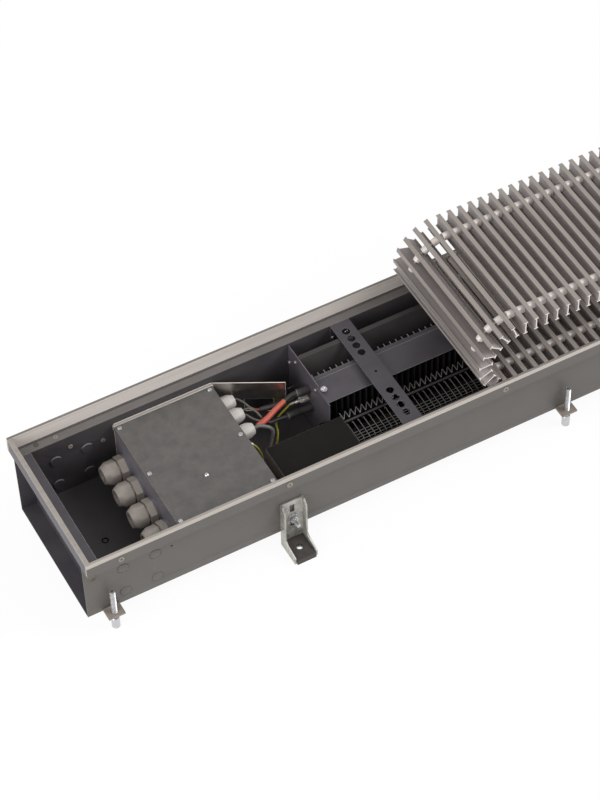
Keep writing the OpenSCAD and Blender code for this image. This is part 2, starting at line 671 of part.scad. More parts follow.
module front_sheet() color([0.31, 0.29, 0.32]) {
  sheet_z = rim_top - end_notch_drop;
  from_left(heater_x + plate_thick) extrude_x(heater_len - 2 * plate_thick) polygon([
    [front_y[0], sheet_z], [front_y[1], sheet_z],
    [front_y[2], sheet_z + front_lip], [front_y[2], sheet_z + front_lip + plate_thick],
    [front_y[1], sheet_z + plate_thick], [front_y[0], sheet_z + plate_thick]]);
}

// Cross bars that carry the grille

cross_hole_in = [59.3, 45.8, 32.3, 18.3];
cross_hole_dia = 11;
cross_screw_dia = 4;
cross_tab = 32;
rivet_head = 6;
rivet_head_len = 1.2;

module crossbars() color([0.34, 0.32, 0.34]) for (x = cross_x) from_left(x - cross_width / 2) difference() {
  union() {
    translate([0, -inner_half, ledge_z - cross_thick]) cube([cross_width, 2 * inner_half, cross_thick]);
    for (y = [-inner_half, inner_half - cross_thick])
      translate([0, y, ledge_z - cross_tab]) cube([cross_width, cross_thick, cross_tab]);
  }
  for (in = cross_hole_in, side = [-1, 1])
    translate([cross_width / 2, side * (inner_half - in), ledge_z - cross_thick - bit])
      cylinder(h = cross_thick + 2 * bit, d = cross_hole_dia);
  translate([cross_width / 2, 0, ledge_z - cross_thick - bit])
    cylinder(h = cross_thick + 2 * bit, d = cross_screw_dia);
  for (side = [-1, 1])
    translate([cross_width / 2 + side * cross_rivet_x, -half_body, cross_rivet_z])
      rod_y_in(body_width, rivet_dia + 2 * hole_gap);
}
module crossbar_rivets() color([0.55, 0.54, 0.53]) both_sides() for (x = cross_x, side = [-1, 1])
  from_left(x + side * cross_rivet_x, inner_half - cross_thick, cross_rivet_z) {
    rod_y_in(cross_thick + sheet, rivet_dia);
    translate([0, -rivet_head_len, 0]) rod_y_in(rivet_head_len, rivet_head);
  }

// Tangential fan: housing, rotor, motor, cover, bearing and guard

fan_axis = [fan_y, 66];
fan_inset = 9.3;
bearing_room = 9.7;
fan_x = heater_x + fan_inset;
fan_end_x = heater_x + heater_len - bearing_room;
scroll_gap = 6;
scroll_top = 96;
scroll_reach = 47;
rotor_in = 8;
disc_thick = 2;
disc_count = 7;
blade_len = 8;
blade_thick = 1;
shaft_gap = 0.05;
shaft_stub = 30;
bearing_stub = 18;
plate_rotor_hole = 57;
motor_back = 93;
motor_x = fan_x - motor_back;
motor_len = 62;
motor_boss_len = 14;
motor_boss_dia = 16;
motor_plate_back = 14;
motor_plate_x = fan_x - motor_plate_back;
cover_box_gap = 15;
cover_x = box_x + box_len + cover_box_gap;
cover_wall_gap = 4.8;
cover_reach = 29;
cover_y = [cover_wall_gap - inner_half, fan_y + cover_reach];
cover_top = 105;
cover_thick = 1.2;
guard_wall_gap = 2.8;
guard_reach = 33;
guard_y = [guard_wall_gap - inner_half, fan_y + guard_reach];
guard_z = 96;
guard_bar = 2;
guard_rows = 3;
bearing_dia = 18;
bearing_len = 8;
tongue_reach = 35;
tongue_y = fan_y + tongue_reach;
tongue_z = [79, 95];

module scroll_shape() {
  radius = rotor_radius + scroll_gap;
  difference() {
    translate(fan_axis) circle(r = radius + plate_thick, $fn = 64);
    translate(fan_axis) circle(r = radius, $fn = 64);
    translate([fan_axis.x, fan_axis[1] - radius]) square([2 * radius, 3 * radius]);
    translate([fan_axis.x - 2 * radius, fan_axis[1]]) square([4 * radius, 2 * radius]);
  }
  translate([fan_axis.x - radius - plate_thick, fan_axis[1]]) square([plate_thick, scroll_top - fan_axis[1]]);
  translate([fan_axis.x, fan_axis[1] - radius - plate_thick]) square([scroll_reach, plate_thick]);
  translate([tongue_y, tongue_z[0]]) square([plate_thick, tongue_z[1] - tongue_z[0]]);
}
module fan_housing() color([0.22, 0.21, 0.22]) from_left(fan_x) {
  extrude_x(fan_end_x - fan_x) scroll_shape();
  for (x = [0, fan_end_x - fan_x - plate_thick]) translate([x, 0, 0]) extrude_x(plate_thick) difference() {
    translate([fan_axis.x - rotor_radius - scroll_gap, floor_z])
      square([tongue_y - fan_axis.x + rotor_radius + scroll_gap, scroll_top - floor_z]);
    translate(fan_axis) circle(d = plate_rotor_hole);
  }
}
module fan_rotor() color([0.3, 0.3, 0.31]) {
  rotor_len = fan_end_x - fan_x - 2 * rotor_in;
  from_left(fan_x + rotor_in, fan_axis.x, fan_axis[1]) {
    for (i = [0:disc_count - 1]) translate([i * (rotor_len - disc_thick) / (disc_count - 1), 0, 0])
      rod_x(disc_thick, 2 * rotor_radius);
    for (i = [0:blades - 1]) rotate([i * 360 / blades, 0, 0])
      translate([disc_thick / 2, rotor_radius - blade_len - blade_thick, 0])
        cube([rotor_len - disc_thick, blade_len, blade_thick]);
    translate([-shaft_stub, 0, 0]) rod_x(shaft_stub + disc_thick, shaft_dia);
    translate([rotor_len - disc_thick, 0, 0]) rod_x(bearing_stub + disc_thick, shaft_dia);
  }
}
module fan_motor() color([0.35, 0.34, 0.33]) from_left(motor_x, fan_axis.x, fan_axis[1]) difference() {
  union() {
    rod_x(motor_len, motor_dia);
    rod_x(motor_len + motor_boss_len, motor_boss_dia);
    translate([motor_plate_x - motor_x, -cross_width, floor_z - fan_axis[1]])
      cube([plate_thick, 2 * cross_width, rotor_radius + fan_axis[1] - floor_z]);
    translate([motor_len, -motor_boss_dia / 2, floor_z - fan_axis[1]])
      cube([motor_plate_x - motor_x - motor_len, motor_boss_dia, plate_thick]);
    translate([motor_len / 2, -motor_boss_dia / 2, floor_z - fan_axis[1]])
      cube([motor_boss_dia, motor_boss_dia, fan_axis[1] - floor_z]);
    translate([motor_len / 2, -motor_boss_dia / 2, floor_z - fan_axis[1]])
      cube([motor_plate_x - motor_x - motor_len / 2, motor_boss_dia, plate_thick]);
  }
  translate([motor_len / 2, 0, 0]) rod_x(2 * motor_len, shaft_dia + 2 * shaft_gap);
}
module motor_cover() color([0.16, 0.155, 0.15]) from_left(cover_x) {
  translate([0, cover_y[0], cover_top - cover_thick])
    cube([fan_x - cover_x, cover_y[1] - cover_y[0], cover_thick]);
  translate([0, cover_y[0], floor_z]) cube([cover_thick, cover_y[1] - cover_y[0], cover_top - floor_z]);
}
module fan_bearing() color([0.2, 0.2, 0.2]) from_left(fan_end_x, fan_axis.x, fan_axis[1]) difference() {
  union() {
    rod_x(bearing_len, bearing_dia);
    translate([0, -bearing_dia / 2, floor_z - fan_axis[1]])
      cube([bearing_len, bearing_dia, fan_axis[1] - floor_z]);
  }
  translate([-bit, 0, 0]) rod_x(bearing_len + 2 * bit, shaft_dia + 2 * shaft_gap);
}
module wire_guard() color([0.3, 0.3, 0.28]) {
  guard_len = fan_end_x - fan_x;
  columns = floor((guard_len - guard_bar) / guard_pitch);
  depth = guard_y[1] - guard_y[0];
  row = (depth - guard_bar) / guard_rows;
  from_left(fan_x, guard_y[0], guard_z) linear_extrude(guard_thick) difference() {
    square([guard_len, depth]);
    for (i = [0:columns - 1], j = [0:guard_rows - 1])
      translate([guard_bar + i * guard_pitch, guard_bar + j * row])
        square([guard_pitch - guard_bar, row - guard_bar]);
  }
}

// Roll-up grille: bars linked through spacer sleeves

module bar_section(trim = 0) {
  half = bar_height / 2;
  translate([-flange_width / 2, trim - half]) square([flange_width, flange_thick - trim]);
  translate([-flange_width / 2, half - flange_thick]) square([flange_width, flange_thick]);
  translate([-web_thick / 2, trim - half]) square([web_thick, bar_height - trim]);
}
module bar(trim = 0, next_turn = 0) difference() {
  translate([0, bar_len / 2, 0]) rotate([90, 0, 0]) linear_extrude(bar_len) bar_section(trim);
  if (next_turn > 0) for (side = [-1, 1]) translate([-flange_width, side * rod_y, 0])
    rod_x(2 * flange_width, 2 * max(core_reach(next_turn) + link_gap, knuckle_reach));
}
module knuckle_rooms() for (side = [-1, 1])
  translate([0, side * rod_y, 0]) rod_x(core_dia / 2 + link_gap, 2 * knuckle_reach);
module straight_sleeves() for (side = [-1, 1])
  translate([web_thick / 2, side * rod_y, 0]) rod_x(bar_pitch - web_thick, sleeve_dia);
module hinge_sleeves() {
  difference() {
    for (side = [-1, 1]) translate([web_thick / 2, side * rod_y, 0]) {
      rod_x(bar_pitch - web_thick / 2 - sleeve_gap, sleeve_dia);
      rod_x(bar_pitch - web_thick / 2, core_dia);
    }
    knuckle_rooms();
  }
  for (side = [-1, 1])
    translate([bar_pitch, side * rod_y - knuckle_len / 2, 0]) rod_y_in(knuckle_len, core_dia);
}
module grille_lower() color([0.58, 0.55, 0.53]) from_left(fold_x, 0, rod_z) {
  bar(0, fold_turns[0]);
  for (i = [1:lower_bars - 1]) translate([i * bar_pitch, 0, 0]) bar();
  for (i = [1:lower_bars - 2]) translate([i * bar_pitch, 0, 0]) straight_sleeves();
  difference() {
    straight_sleeves();
    knuckle_rooms();
  }
}
module at_fold(k) from_left(pivot(k).x, 0, pivot(k)[1]) rotate([0, turn(k), 0]) children();
module curl(k) color([0.6, 0.57, 0.55]) at_fold(k) {
  bar(fold_trim, fold_turns[k]);
  hinge_sleeves();
}
module grille_upper() color([0.58, 0.55, 0.53]) at_fold(hinge_count) {
  for (i = [0:upper_bars - 1]) translate([-i * bar_pitch, 0, 0]) bar(fold_trim);
  for (i = [1:upper_bars - 1]) translate([-i * bar_pitch, 0, 0]) straight_sleeves();
  hinge_sleeves();
}

casing();
end_walls();
rim_sides();
rim_ends();
screw_tabs();
level_screw(1);  // level_screw_1
level_screw(2);  // level_screw_2
level_screw(3);  // level_screw_3
level_screw(4);  // level_screw_4
level_screw(5);  // level_screw_5
level_screw(6);  // level_screw_6
bracket(1);  // bracket_1
bracket(2);  // bracket_2
bracket(3);  // bracket_3
bracket(4);  // bracket_4
pad(1);  // pad_1
pad(2);  // pad_2
pad(3);  // pad_3
pad(4);  // pad_4
bracket_bolts();
bracket_nuts();
box_body();
box_lid();
lid_screws();
earth_stud();
large_glands();
small_glands();
control_board();
terminal_block();
guard_plate();
cable_upper();
cable_red();
cable_lower();
cable_motor();
earth_wire();
earth_link();
heater_ends();
fin_block();
heating_rods();
terminal_caps();
rear_deflector();
front_sheet();
crossbars();
crossbar_rivets();
fan_housing();
fan_rotor();
fan_motor();
motor_cover();
fan_bearing();
wire_guard();
grille_lower();
curl(1);  // curl_1
curl(2);  // curl_2
curl(3);  // curl_3
curl(4);  // curl_4
curl(5);  // curl_5
curl(6);  // curl_6
curl(7);  // curl_7
curl(8);  // curl_8
grille_upper();
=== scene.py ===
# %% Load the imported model
import json
import math
import random

import bmesh
import bpy
from mathutils import Matrix, Vector


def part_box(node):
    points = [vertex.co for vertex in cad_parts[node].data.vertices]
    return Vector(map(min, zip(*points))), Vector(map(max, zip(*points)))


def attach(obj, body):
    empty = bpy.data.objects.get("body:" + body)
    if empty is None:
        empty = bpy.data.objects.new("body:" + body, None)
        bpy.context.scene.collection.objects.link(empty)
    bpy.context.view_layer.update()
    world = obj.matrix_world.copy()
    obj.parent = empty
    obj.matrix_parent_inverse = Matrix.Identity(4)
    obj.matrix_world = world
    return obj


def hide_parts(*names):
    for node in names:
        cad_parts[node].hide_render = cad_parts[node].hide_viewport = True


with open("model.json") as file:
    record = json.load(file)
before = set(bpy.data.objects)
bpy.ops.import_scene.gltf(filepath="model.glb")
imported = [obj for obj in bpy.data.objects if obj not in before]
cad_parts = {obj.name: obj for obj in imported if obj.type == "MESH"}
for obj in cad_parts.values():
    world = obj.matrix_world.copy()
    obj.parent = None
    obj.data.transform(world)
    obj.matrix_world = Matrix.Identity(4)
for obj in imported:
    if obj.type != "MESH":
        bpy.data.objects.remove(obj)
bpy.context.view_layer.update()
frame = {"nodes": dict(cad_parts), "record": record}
MM = 0.001
HALF_LENGTH = 693
TRENCH_LENGTH = 2 * HALF_LENGTH
END_WALL = 671.6
OUTER_WALL = 97.5
INNER_WALL = 96.3
LEDGE_TOP = 129
behaviour = frame["record"]["behaviour"]
BODY_OF = {node: body for body, nodes in behaviour["bodies"].items() for node in nodes}
SLOT_OF = {part["node"]: part["material_slot"] for part in frame["record"]["subparts"]}

# %% [markdown]
# The camera stands where the photographer stood. Its place and axes come from matching the corners
# of the trench and the tops of its screws, so a size in the CAD lands on the same pixel here. The
# lens is long, about 120 mm on a 36 mm picture side, which keeps the far end nearly as wide as the
# near one.

# %% Camera at the photograph's angle
CAMERA_MM = Vector((-1341.5, -1941.9, 2728.3))
VIEW_RIGHT = Vector((0.87709, -0.47991, -0.01993))
VIEW_UP = Vector((0.37831, 0.66464, 0.64431))
FOCAL_PIXELS = 2674.9
PICTURE_HEIGHT = 800
SENSOR_MM = 36
FAR_CLIP = 50

camera_data = bpy.data.cameras.new("camera")
camera_data.sensor_width = SENSOR_MM
camera_data.lens = FOCAL_PIXELS * SENSOR_MM / PICTURE_HEIGHT
camera_data.clip_end = FAR_CLIP
camera = bpy.data.objects.new("camera", camera_data)
bpy.context.scene.collection.objects.link(camera)
view_back = VIEW_RIGHT.cross(VIEW_UP)
turned = Matrix((VIEW_RIGHT, VIEW_UP, view_back)).transposed()
camera.matrix_world = Matrix.Translation(CAMERA_MM * MM) @ turned.to_4x4()
bpy.context.scene.camera = camera
print("Lens in mm:", round(camera_data.lens, 1))

# %% [markdown]
# A node material is a small machine, and most of this script's machines are built alike: one node,
# its settings, and what feeds its sockets. One helper adds any node, so that a recipe reads as a
# list. Colours are written as the hex values that an eye or a screen would name. Cycles works in
# linear light, so one function turns them.

# %% Node helpers
def linear(hex_colour):
    """The linear RGBA of an sRGB hex colour."""
    shares = [int(hex_colour[i:i + 2], 16) / 255 for i in (0, 2, 4)]
    light = [s / 12.92 if s <= 0.04045 else ((s + 0.055) / 1.055) ** 2.4 for s in shares]
    return (*light, 1.0)


def add(tree, kind, sockets=None, **settings):
    """Adds one node with its settings. A socket takes a value or another node's output."""
    node = tree.nodes.new(kind)
    for name, value in settings.items():
        setattr(node, name, value)
    for socket, value in (sockets or {}).items():
        if isinstance(value, bpy.types.NodeSocket):
            tree.links.new(value, node.inputs[socket])
        else:
            node.inputs[socket].default_value = value
    return node


def empty_material(name):
    """A new node material with nothing in it."""
    material = bpy.data.materials.new(name)
    material.use_nodes = True
    material.node_tree.nodes.clear()
    return material


PATCH_SHARE = 0.7
FINE_SHARE = 0.3
NOISE_LOW = 0.3
NOISE_HIGH = 0.7
PER_MM = 1000


def surface(name, dark, light, grain_mm, rough, metallic=0.0, stretch=(1, 1, 1), bump_mm=0.0,
            fine_mm=1.2, crystals=False, coat=0.0, ior=None):
    """A material whose colour and roughness wander between two values over patches of grain_mm.
    stretch draws the patches out along an axis. crystals makes them flat-sided, as zinc's are."""
    material = empty_material(name)
    tree = material.node_tree
    place = add(tree, "ShaderNodeTexCoord")
    drawn = add(tree, "ShaderNodeMapping", {"Vector": place.outputs["Object"], "Scale": stretch})
    if crystals:
        patches = add(tree, "ShaderNodeTexVoronoi",
                      {"Vector": drawn.outputs["Vector"], "Scale": PER_MM / grain_mm, "Randomness": 1.0})
        split = add(tree, "ShaderNodeSeparateColor", {"Color": patches.outputs["Color"]})
        patch_value = split.outputs["Red"]
    else:
        patches = add(tree, "ShaderNodeTexNoise",
                      {"Vector": drawn.outputs["Vector"], "Scale": PER_MM / grain_mm, "Detail": 4.0})
        patch_value = patches.outputs["Fac"]
    fine = add(tree, "ShaderNodeTexNoise",
               {"Vector": drawn.outputs["Vector"], "Scale": PER_MM / fine_mm, "Detail": 3.0})
    both = add(tree, "ShaderNodeMath", {0: patch_value, 1: PATCH_SHARE}, operation="MULTIPLY")
    mixed = add(tree, "ShaderNodeMath", {0: fine.outputs["Fac"], 1: FINE_SHARE, 2: both.outputs[0]},
                operation="MULTIPLY_ADD")
    spread = add(tree, "ShaderNodeMapRange",
                 {"Value": mixed.outputs[0], "From Min": NOISE_LOW, "From Max": NOISE_HIGH})
    colour = add(tree, "ShaderNodeMix",
                 {0: spread.outputs["Result"], 6: linear(dark), 7: linear(light)}, data_type="RGBA")
    gloss = add(tree, "ShaderNodeMapRange",
                {"Value": spread.outputs["Result"], "To Min": rough[0], "To Max": rough[1]})
    shader = add(tree, "ShaderNodeBsdfPrincipled",
                 {"Base Color": colour.outputs[2], "Roughness": gloss.outputs["Result"],
                  "Metallic": metallic})
    if coat:
        shader.inputs["Coat Weight"].default_value = coat
    if ior:
        shader.inputs["IOR"].default_value = ior
    if bump_mm:
        relief = add(tree, "ShaderNodeBump",
                     {"Height": mixed.outputs[0], "Distance": bump_mm * MM, "Strength": 1.0})
        tree.links.new(relief.outputs["Normal"], shader.inputs["Normal"])
    add(tree, "ShaderNodeOutputMaterial", {"Surface": shader.outputs["BSDF"]})
    return material


# %% [markdown]
# The trench is steel sheet with a baked powder coat. Such a coat is slightly uneven, like the skin
# of an orange, with hills about 2 mm apart, and it scatters light softly. The inner sheets carry a
# bluer coat than the casing. The trench's inner faces take a darker copy of the coat, painted shade,
# and the edges of the sheets a much lighter one, a painted highlight.

# %% Coated sheets
finishes = {
    "dark_sheet": surface("powder_coated_casing", "524f4c", "5d5956", 40, (0.42, 0.55), bump_mm=0.05,
                          fine_mm=2),
    "inner_sheet": surface("powder_coated_inner_sheet", "3d393f", "48444a", 30, (0.4, 0.52),
                           bump_mm=0.04, fine_mm=2),
    "fan_black": surface("black_coated_fan_sheet", "0a0807", "100d0b", 25, (0.8, 0.95), bump_mm=0.04,
                         fine_mm=1.5, ior=1.36),
    "box_plastic": surface("coated_box_wall", "625f66", "716e75", 15, (0.45, 0.6), bump_mm=0.08,
                           fine_mm=1.5),
    "lid_plastic": surface("coated_box_lid", "4b4948", "5d5a58", 14, (0.4, 0.58), bump_mm=0.08,
                           fine_mm=1.6),
    "tab_steel": surface("coated_screw_tab", "7a716a", "8d847b", 8, (0.4, 0.6), bump_mm=0.05),
}
print("Finishes so far:", len(finishes))

# %% Inner faces and edges of the sheets
finishes.update({
    # Painted shade: the trench's inner faces and the inner knock-outs take this darker copy of the coat.
    "trench_inside": surface("coated_inside_painted_shade", "3a373a", "434043", 30, (0.6, 0.75), bump_mm=0.05,
                             fine_mm=2),
    "plate_coat": surface("coated_heater_end", "48434a", "545056", 30, (0.4, 0.52), bump_mm=0.04),
    "crossbar_coat": surface("coated_crossbar", "37333a", "423e44", 30, (0.42, 0.55), bump_mm=0.04),
    "end_recess": surface("shaded_end_recess", "312d34", "3b373e", 30, (0.6, 0.75), bump_mm=0.05),
    # Painted light: the ledges, part of the same sheet, take this lighter copy of the casing's coat.
    "ledge_coat": surface("coated_ledge_painted_light", "5c5856", "676361", 30, (0.45, 0.6), bump_mm=0.05, fine_mm=2),
    "deflector_coat": surface("brown_coated_deflector", "2d2a2a", "363232", 30, (0.5, 0.65),
                              bump_mm=0.04),
    # Painted highlight: this much lighter coat lines the rounded edges of the sheets and the lid.
    "edge_highlight": surface("coated_edge_painted_highlight", "a39da3", "b8b2b6", 4, (0.3, 0.42), metallic=0.4),
    # Painted highlight: the rounded edges of the heater's ends and the front sheet, and the inner
    # knock-outs' upward faces.
    "soft_edge": surface("rounded_edge_painted_highlight", "67636a", "757177", 4, (0.35, 0.5)),
    # Painted highlight: a lighter grey along the black motor cover's rounded edges.
    "edge_of_cover": surface("black_edge_painted_highlight", "4b4743", "5a5550", 4, (0.4, 0.5)),
    "primer_brown": surface("brown_primer", "75665c", "85766b", 6, (0.5, 0.65)),
    # Painted shade: this dark fill stands for the shade at the rim's foot, in the holes and under the
    # floor outlet.
    "groove_dark": surface("dark_shade_fill", "454341", "514e4c", 3, (0.8, 0.95), bump_mm=0.1),
})
print("Finishes so far:", len(finishes))

# %% [markdown]
# Bare metals come next. The rim and the grille are extruded aluminium: the die leaves faint lines
# along each profile, so the noise is drawn out along it. The brackets are galvanised, and zinc
# freezes in flat crystals several millimetres wide.

# %% Bare metals
finishes.update({
    "rim_metal": surface("extruded_aluminium_rim", "9c958f", "aea7a1", 6, (0.35, 0.5), metallic=0.6,
                         stretch=(0.03, 1, 1), bump_mm=0.02),
    # Painted light: the far rim's upright faces take this near-white copy of the rim's aluminium, and
    # the near lip a lighter one.
    "rim_side": surface("aluminium_rim_side_painted_light", "ddd5cf", "ece5df", 6, (0.4, 0.55),
                        metallic=0.25, stretch=(0.03, 1, 1), bump_mm=0.02),
    "rim_near_lip": surface("aluminium_lip_painted_light", "b0a9a2", "c0b9b2", 6, (0.35, 0.5), metallic=0.5,
                            stretch=(0.03, 1, 1), bump_mm=0.02),
    # Painted shade: the far rim's top takes this darker copy.
    "rim_far_top": surface("aluminium_rim_top_painted_shade", "6f6a65", "7d7772", 6, (0.45, 0.6), metallic=0.3,
                           stretch=(0.03, 1, 1), bump_mm=0.02),
    # Painted light: the webs take this lighter, less metallic copy of the bars' aluminium, lifting the
    # shade between the bars.
    "grille_web": surface("aluminium_web_painted_light", "989191", "a8a1a0", 4, (0.4, 0.55), metallic=0.1,
                          stretch=(1, 0.03, 1), bump_mm=0.02),
    "grille_metal": surface("extruded_aluminium_bar", "8c847f", "9c948f", 4, (0.38, 0.5), metallic=0.3,
                            stretch=(1, 0.03, 1), bump_mm=0.02),
    "zinc": surface("bright_zinc_screw", "b9b9bc", "d4d4d6", 3, (0.22, 0.38), metallic=0.9,
                    bump_mm=0.01),
    "bracket_steel": surface("galvanised_bracket", "9c9a94", "b5b3ad", 5, (0.32, 0.5), metallic=0.6,
                             crystals=True, bump_mm=0.01),
    "bright_plate": surface("brushed_cable_guard", "aeaaa7", "c8c4c0", 9, (0.26, 0.34), metallic=1.0,
                            stretch=(0.02, 1, 1), bump_mm=0.003),
    # Black coat and painted shade: darkened to near black so the gaps between the fins stay black.
    "fin_metal": surface("black_fin_with_painted_shade", "080807", "0d0c0c", 6, (0.8, 0.95)),
    "rod_metal": surface("heating_rod_steel", "6b645d", "7d766e", 6, (0.35, 0.5), metallic=0.7),
    "guard_wire": surface("coated_guard_wire", "5a5755", "6c6967", 10, (0.35, 0.5), metallic=0.3),
})
print("Finishes so far:", len(finishes))

# %% Cut, turned and folded metals
finishes.update({
    "sawn_end": surface("sawn_aluminium_end", "d6d0cc", "ebe7e4", 2, (0.4, 0.55), metallic=0.4,
                        bump_mm=0.01),
    "turned_sleeve": surface("turned_aluminium_sleeve", "d6ceca", "e4ddd9", 3, (0.42, 0.55),
                             metallic=0.2),
    "tinned_lug": surface("tinned_brass_lug", "c5bfb8", "e0dbd5", 2, (0.25, 0.4), metallic=0.6,
                          bump_mm=0.02),
    # Painted highlight: the fins' folded tops take this lighter finish.
    "bright_fin": surface("fin_fold_painted_highlight", "7c7977", "918e8a", 3, (0.35, 0.5), metallic=0.4),
    "guard_strip": surface("coated_guard_strip", "2a2829", "353233", 12, (0.5, 0.65), bump_mm=0.03),
})
print("Finishes so far:", len(finishes))

# %% [markdown]
# Plastics and rubbers finish the list. A moulded gland is smooth but not polished, a sleeve of
# silicone rubber is matt and a little dusty, and a wire's sheath has a soft gloss.

# %% Plastics and rubbers
finishes.update({
    "pad_rubber": surface("moulded_rubber_pad", "35322f", "45413e", 6, (0.6, 0.8), bump_mm=0.08),
    "gland_grey": surface("moulded_grey_gland", "958d86", "a39b94", 9, (0.38, 0.5), bump_mm=0.02),
    "gland_light": surface("moulded_light_gland", "b4afab", "c3bfbb", 9, (0.35, 0.5), bump_mm=0.02),
    "board": surface("circuit_board", "1f4a2f", "2c6140", 5, (0.3, 0.4), coat=0.4),
    "cream_plastic": surface("terminal_plastic", "b8b09a", "c6bfa9", 8, (0.4, 0.5)),
    "black_cable": surface("black_rubber_sheath", "242322", "302e2d", 5, (0.45, 0.65), bump_mm=0.03),
    "red_sleeve": surface("red_silicone_sleeve", "a84a3c", "b95a49", 7, (0.4, 0.55), bump_mm=0.02),
    "grey_cable": surface("grey_cable_sheath", "5f5e5d", "706e6c", 7, (0.4, 0.55), bump_mm=0.02),
    "earth_sheath": surface("yellow_earth_sheath", "8f8b1e", "aaa42c", 7, (0.35, 0.5)),
    "cap_black": surface("black_silicone_boot", "2a2827", "3a3736", 6, (0.5, 0.7), bump_mm=0.03),
    "dark_red_band": surface("dark_red_band", "6d302b", "7d3b35", 4, (0.45, 0.6)),
    "dull_wire": surface("silicone_wire_sheath", "57524c", "69645d", 5, (0.5, 0.65), bump_mm=0.02),
    # Painted highlight: the boots' rolled lips take this lighter grey.
    "lip_highlight": surface("rubber_lip_painted_highlight", "5a5856", "706e6c", 3, (0.45, 0.6), bump_mm=0.02),
})

for node, made in frame["nodes"].items():
    made.data.materials.clear()
    made.data.materials.append(finishes[SLOT_OF[node]])
print("Finishes:", len(finishes))

# %% [markdown]
# Each finished mesh becomes a piece of the part in the same way: it takes a finish, rides on a body
# of the CAD model, and may stand in for CAD nodes.

# %% Pieces
SHARP_ANGLE = math.radians(35)
FLAT_ANGLE = math.radians(0.5)
WELD = 0.002 * MM


def place_piece(data, name, body, slot, stands_for=(), finish=None):
    """Makes mesh or curve data a piece that rides on a body. finish is the slot's own unless given."""
    piece = bpy.data.objects.new(name, data)
    bpy.context.scene.collection.objects.link(piece)
    data.materials.clear()
    data.materials.append(finish or finishes[slot])
    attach(piece, body)
    if stands_for:
        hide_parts(*stands_for)
    return piece


# %% [markdown]
# The next helpers are the workshop. A round part is turned: its profile is spun about its axis. A
# straight part is drawn out from an outline, as an extrusion is. A recess is cut by a second shape.
# Copies of one part are merged into one mesh, because a row of rivets is one piece to look after.

# %% Shape helpers
def at(x, y, z):
    """A point in mm from the trench's left end, from its middle plane and above the ground."""
    return Vector((x - HALF_LENGTH, y, z)) * MM


def merge(shape, part, places=(Matrix.Identity(4),)):
    """Adds a part's faces to a shape, once for each placing matrix."""
    bmesh.ops.recalc_face_normals(part, faces=part.faces)
    carrier = bpy.data.meshes.new("carrier")
    part.to_mesh(carrier)
    part.free()
    for place in places:
        moved = carrier.copy()
        moved.transform(place)
        shape.from_mesh(moved)
        bpy.data.meshes.remove(moved)
    bpy.data.meshes.remove(carrier)


def lathe(profile, centre=Vector(), along=(0, 0, 1), steps=24):
    """A turned solid. profile is pairs of place along the axis and radius, in mm."""
    part = bmesh.new()
    points = [part.verts.new((radius * MM, 0, place * MM)) for place, radius in profile]
    lines = [part.edges.new(pair) for pair in zip(points, points[1:])]
    bmesh.ops.spin(part, geom=points + lines, cent=(0, 0, 0), axis=(0, 0, 1), angle=math.tau,
                   steps=steps, use_merge=True)
    bmesh.ops.remove_doubles(part, verts=part.verts, dist=WELD)
    turn = Vector((0, 0, 1)).rotation_difference(Vector(along)).to_matrix().to_4x4()
    bmesh.ops.transform(part, matrix=Matrix.Translation(centre) @ turn, verts=part.verts)
    return part


def prism(outline, origin, u, v, length_mm):
    """A straight solid: an outline in mm on the axes u and v, drawn out along their cross product."""
    part = bmesh.new()
    u, v = Vector(u), Vector(v)
    corners = [part.verts.new(origin + (u * a + v * b) * MM) for a, b in outline]
    drawn = bmesh.ops.extrude_face_region(part, geom=[part.faces.new(corners)])
    ends = [item for item in drawn["geom"] if isinstance(item, bmesh.types.BMVert)]
    bmesh.ops.translate(part, vec=u.cross(v) * length_mm * MM, verts=ends)
    return part


def block(low, high):
    """A rectangular solid between two corners given with at()."""
    size = (high - low) / MM
    outline = [(0, 0), (size.x, 0), (size.x, size.y), (0, size.y)]
    return prism(outline, low, (1, 0, 0), (0, 1, 0), size.z)


def carved(solid, cutter):
    """The first shape with the second one cut out of it."""
    pair = []
    for shape in (solid, cutter):
        mesh = bpy.data.meshes.new("blank")
        bmesh.ops.recalc_face_normals(shape, faces=shape.faces)
        shape.to_mesh(mesh)
        shape.free()
        blank = bpy.data.objects.new("blank", mesh)
        bpy.context.scene.collection.objects.link(blank)
        pair.append(blank)
    cut = pair[0].modifiers.new("cut", "BOOLEAN")
    cut.operation = "DIFFERENCE"
    cut.object = pair[1]
    bpy.context.view_layer.update()
    result = bmesh.new()
    result.from_mesh(pair[0].evaluated_get(bpy.context.evaluated_depsgraph_get()).to_mesh())
    for blank in pair:
        mesh = blank.data
        bpy.data.objects.remove(blank)
        bpy.data.meshes.remove(mesh)
    return result


def finished(shape, name, body, slot, stands_for=(), finish=None):
    """Makes a shape a piece, with smooth faces between sharp edges."""
    bmesh.ops.recalc_face_normals(shape, faces=shape.faces)
    mesh = bpy.data.meshes.new(name)
    shape.to_mesh(mesh)
    shape.free()
    mesh.shade_smooth()
    mesh.set_sharp_from_angle(angle=SHARP_ANGLE)
    return place_piece(mesh, name, body, slot, stands_for, finish)


def rounded(route, radius_mm, steps=4):
    """The route of a wire that is bent round at each inner corner."""
    points = [route[0]]
    for before, corner, after in zip(route, route[1:], route[2:]):
        back = (before - corner).normalized() * radius_mm * MM
        onward = (after - corner).normalized() * radius_mm * MM
        points += [corner + back * (1 - i / steps) ** 2 + onward * (i / steps) ** 2
                   for i in range(steps + 1)]
    return points + [route[-1]]


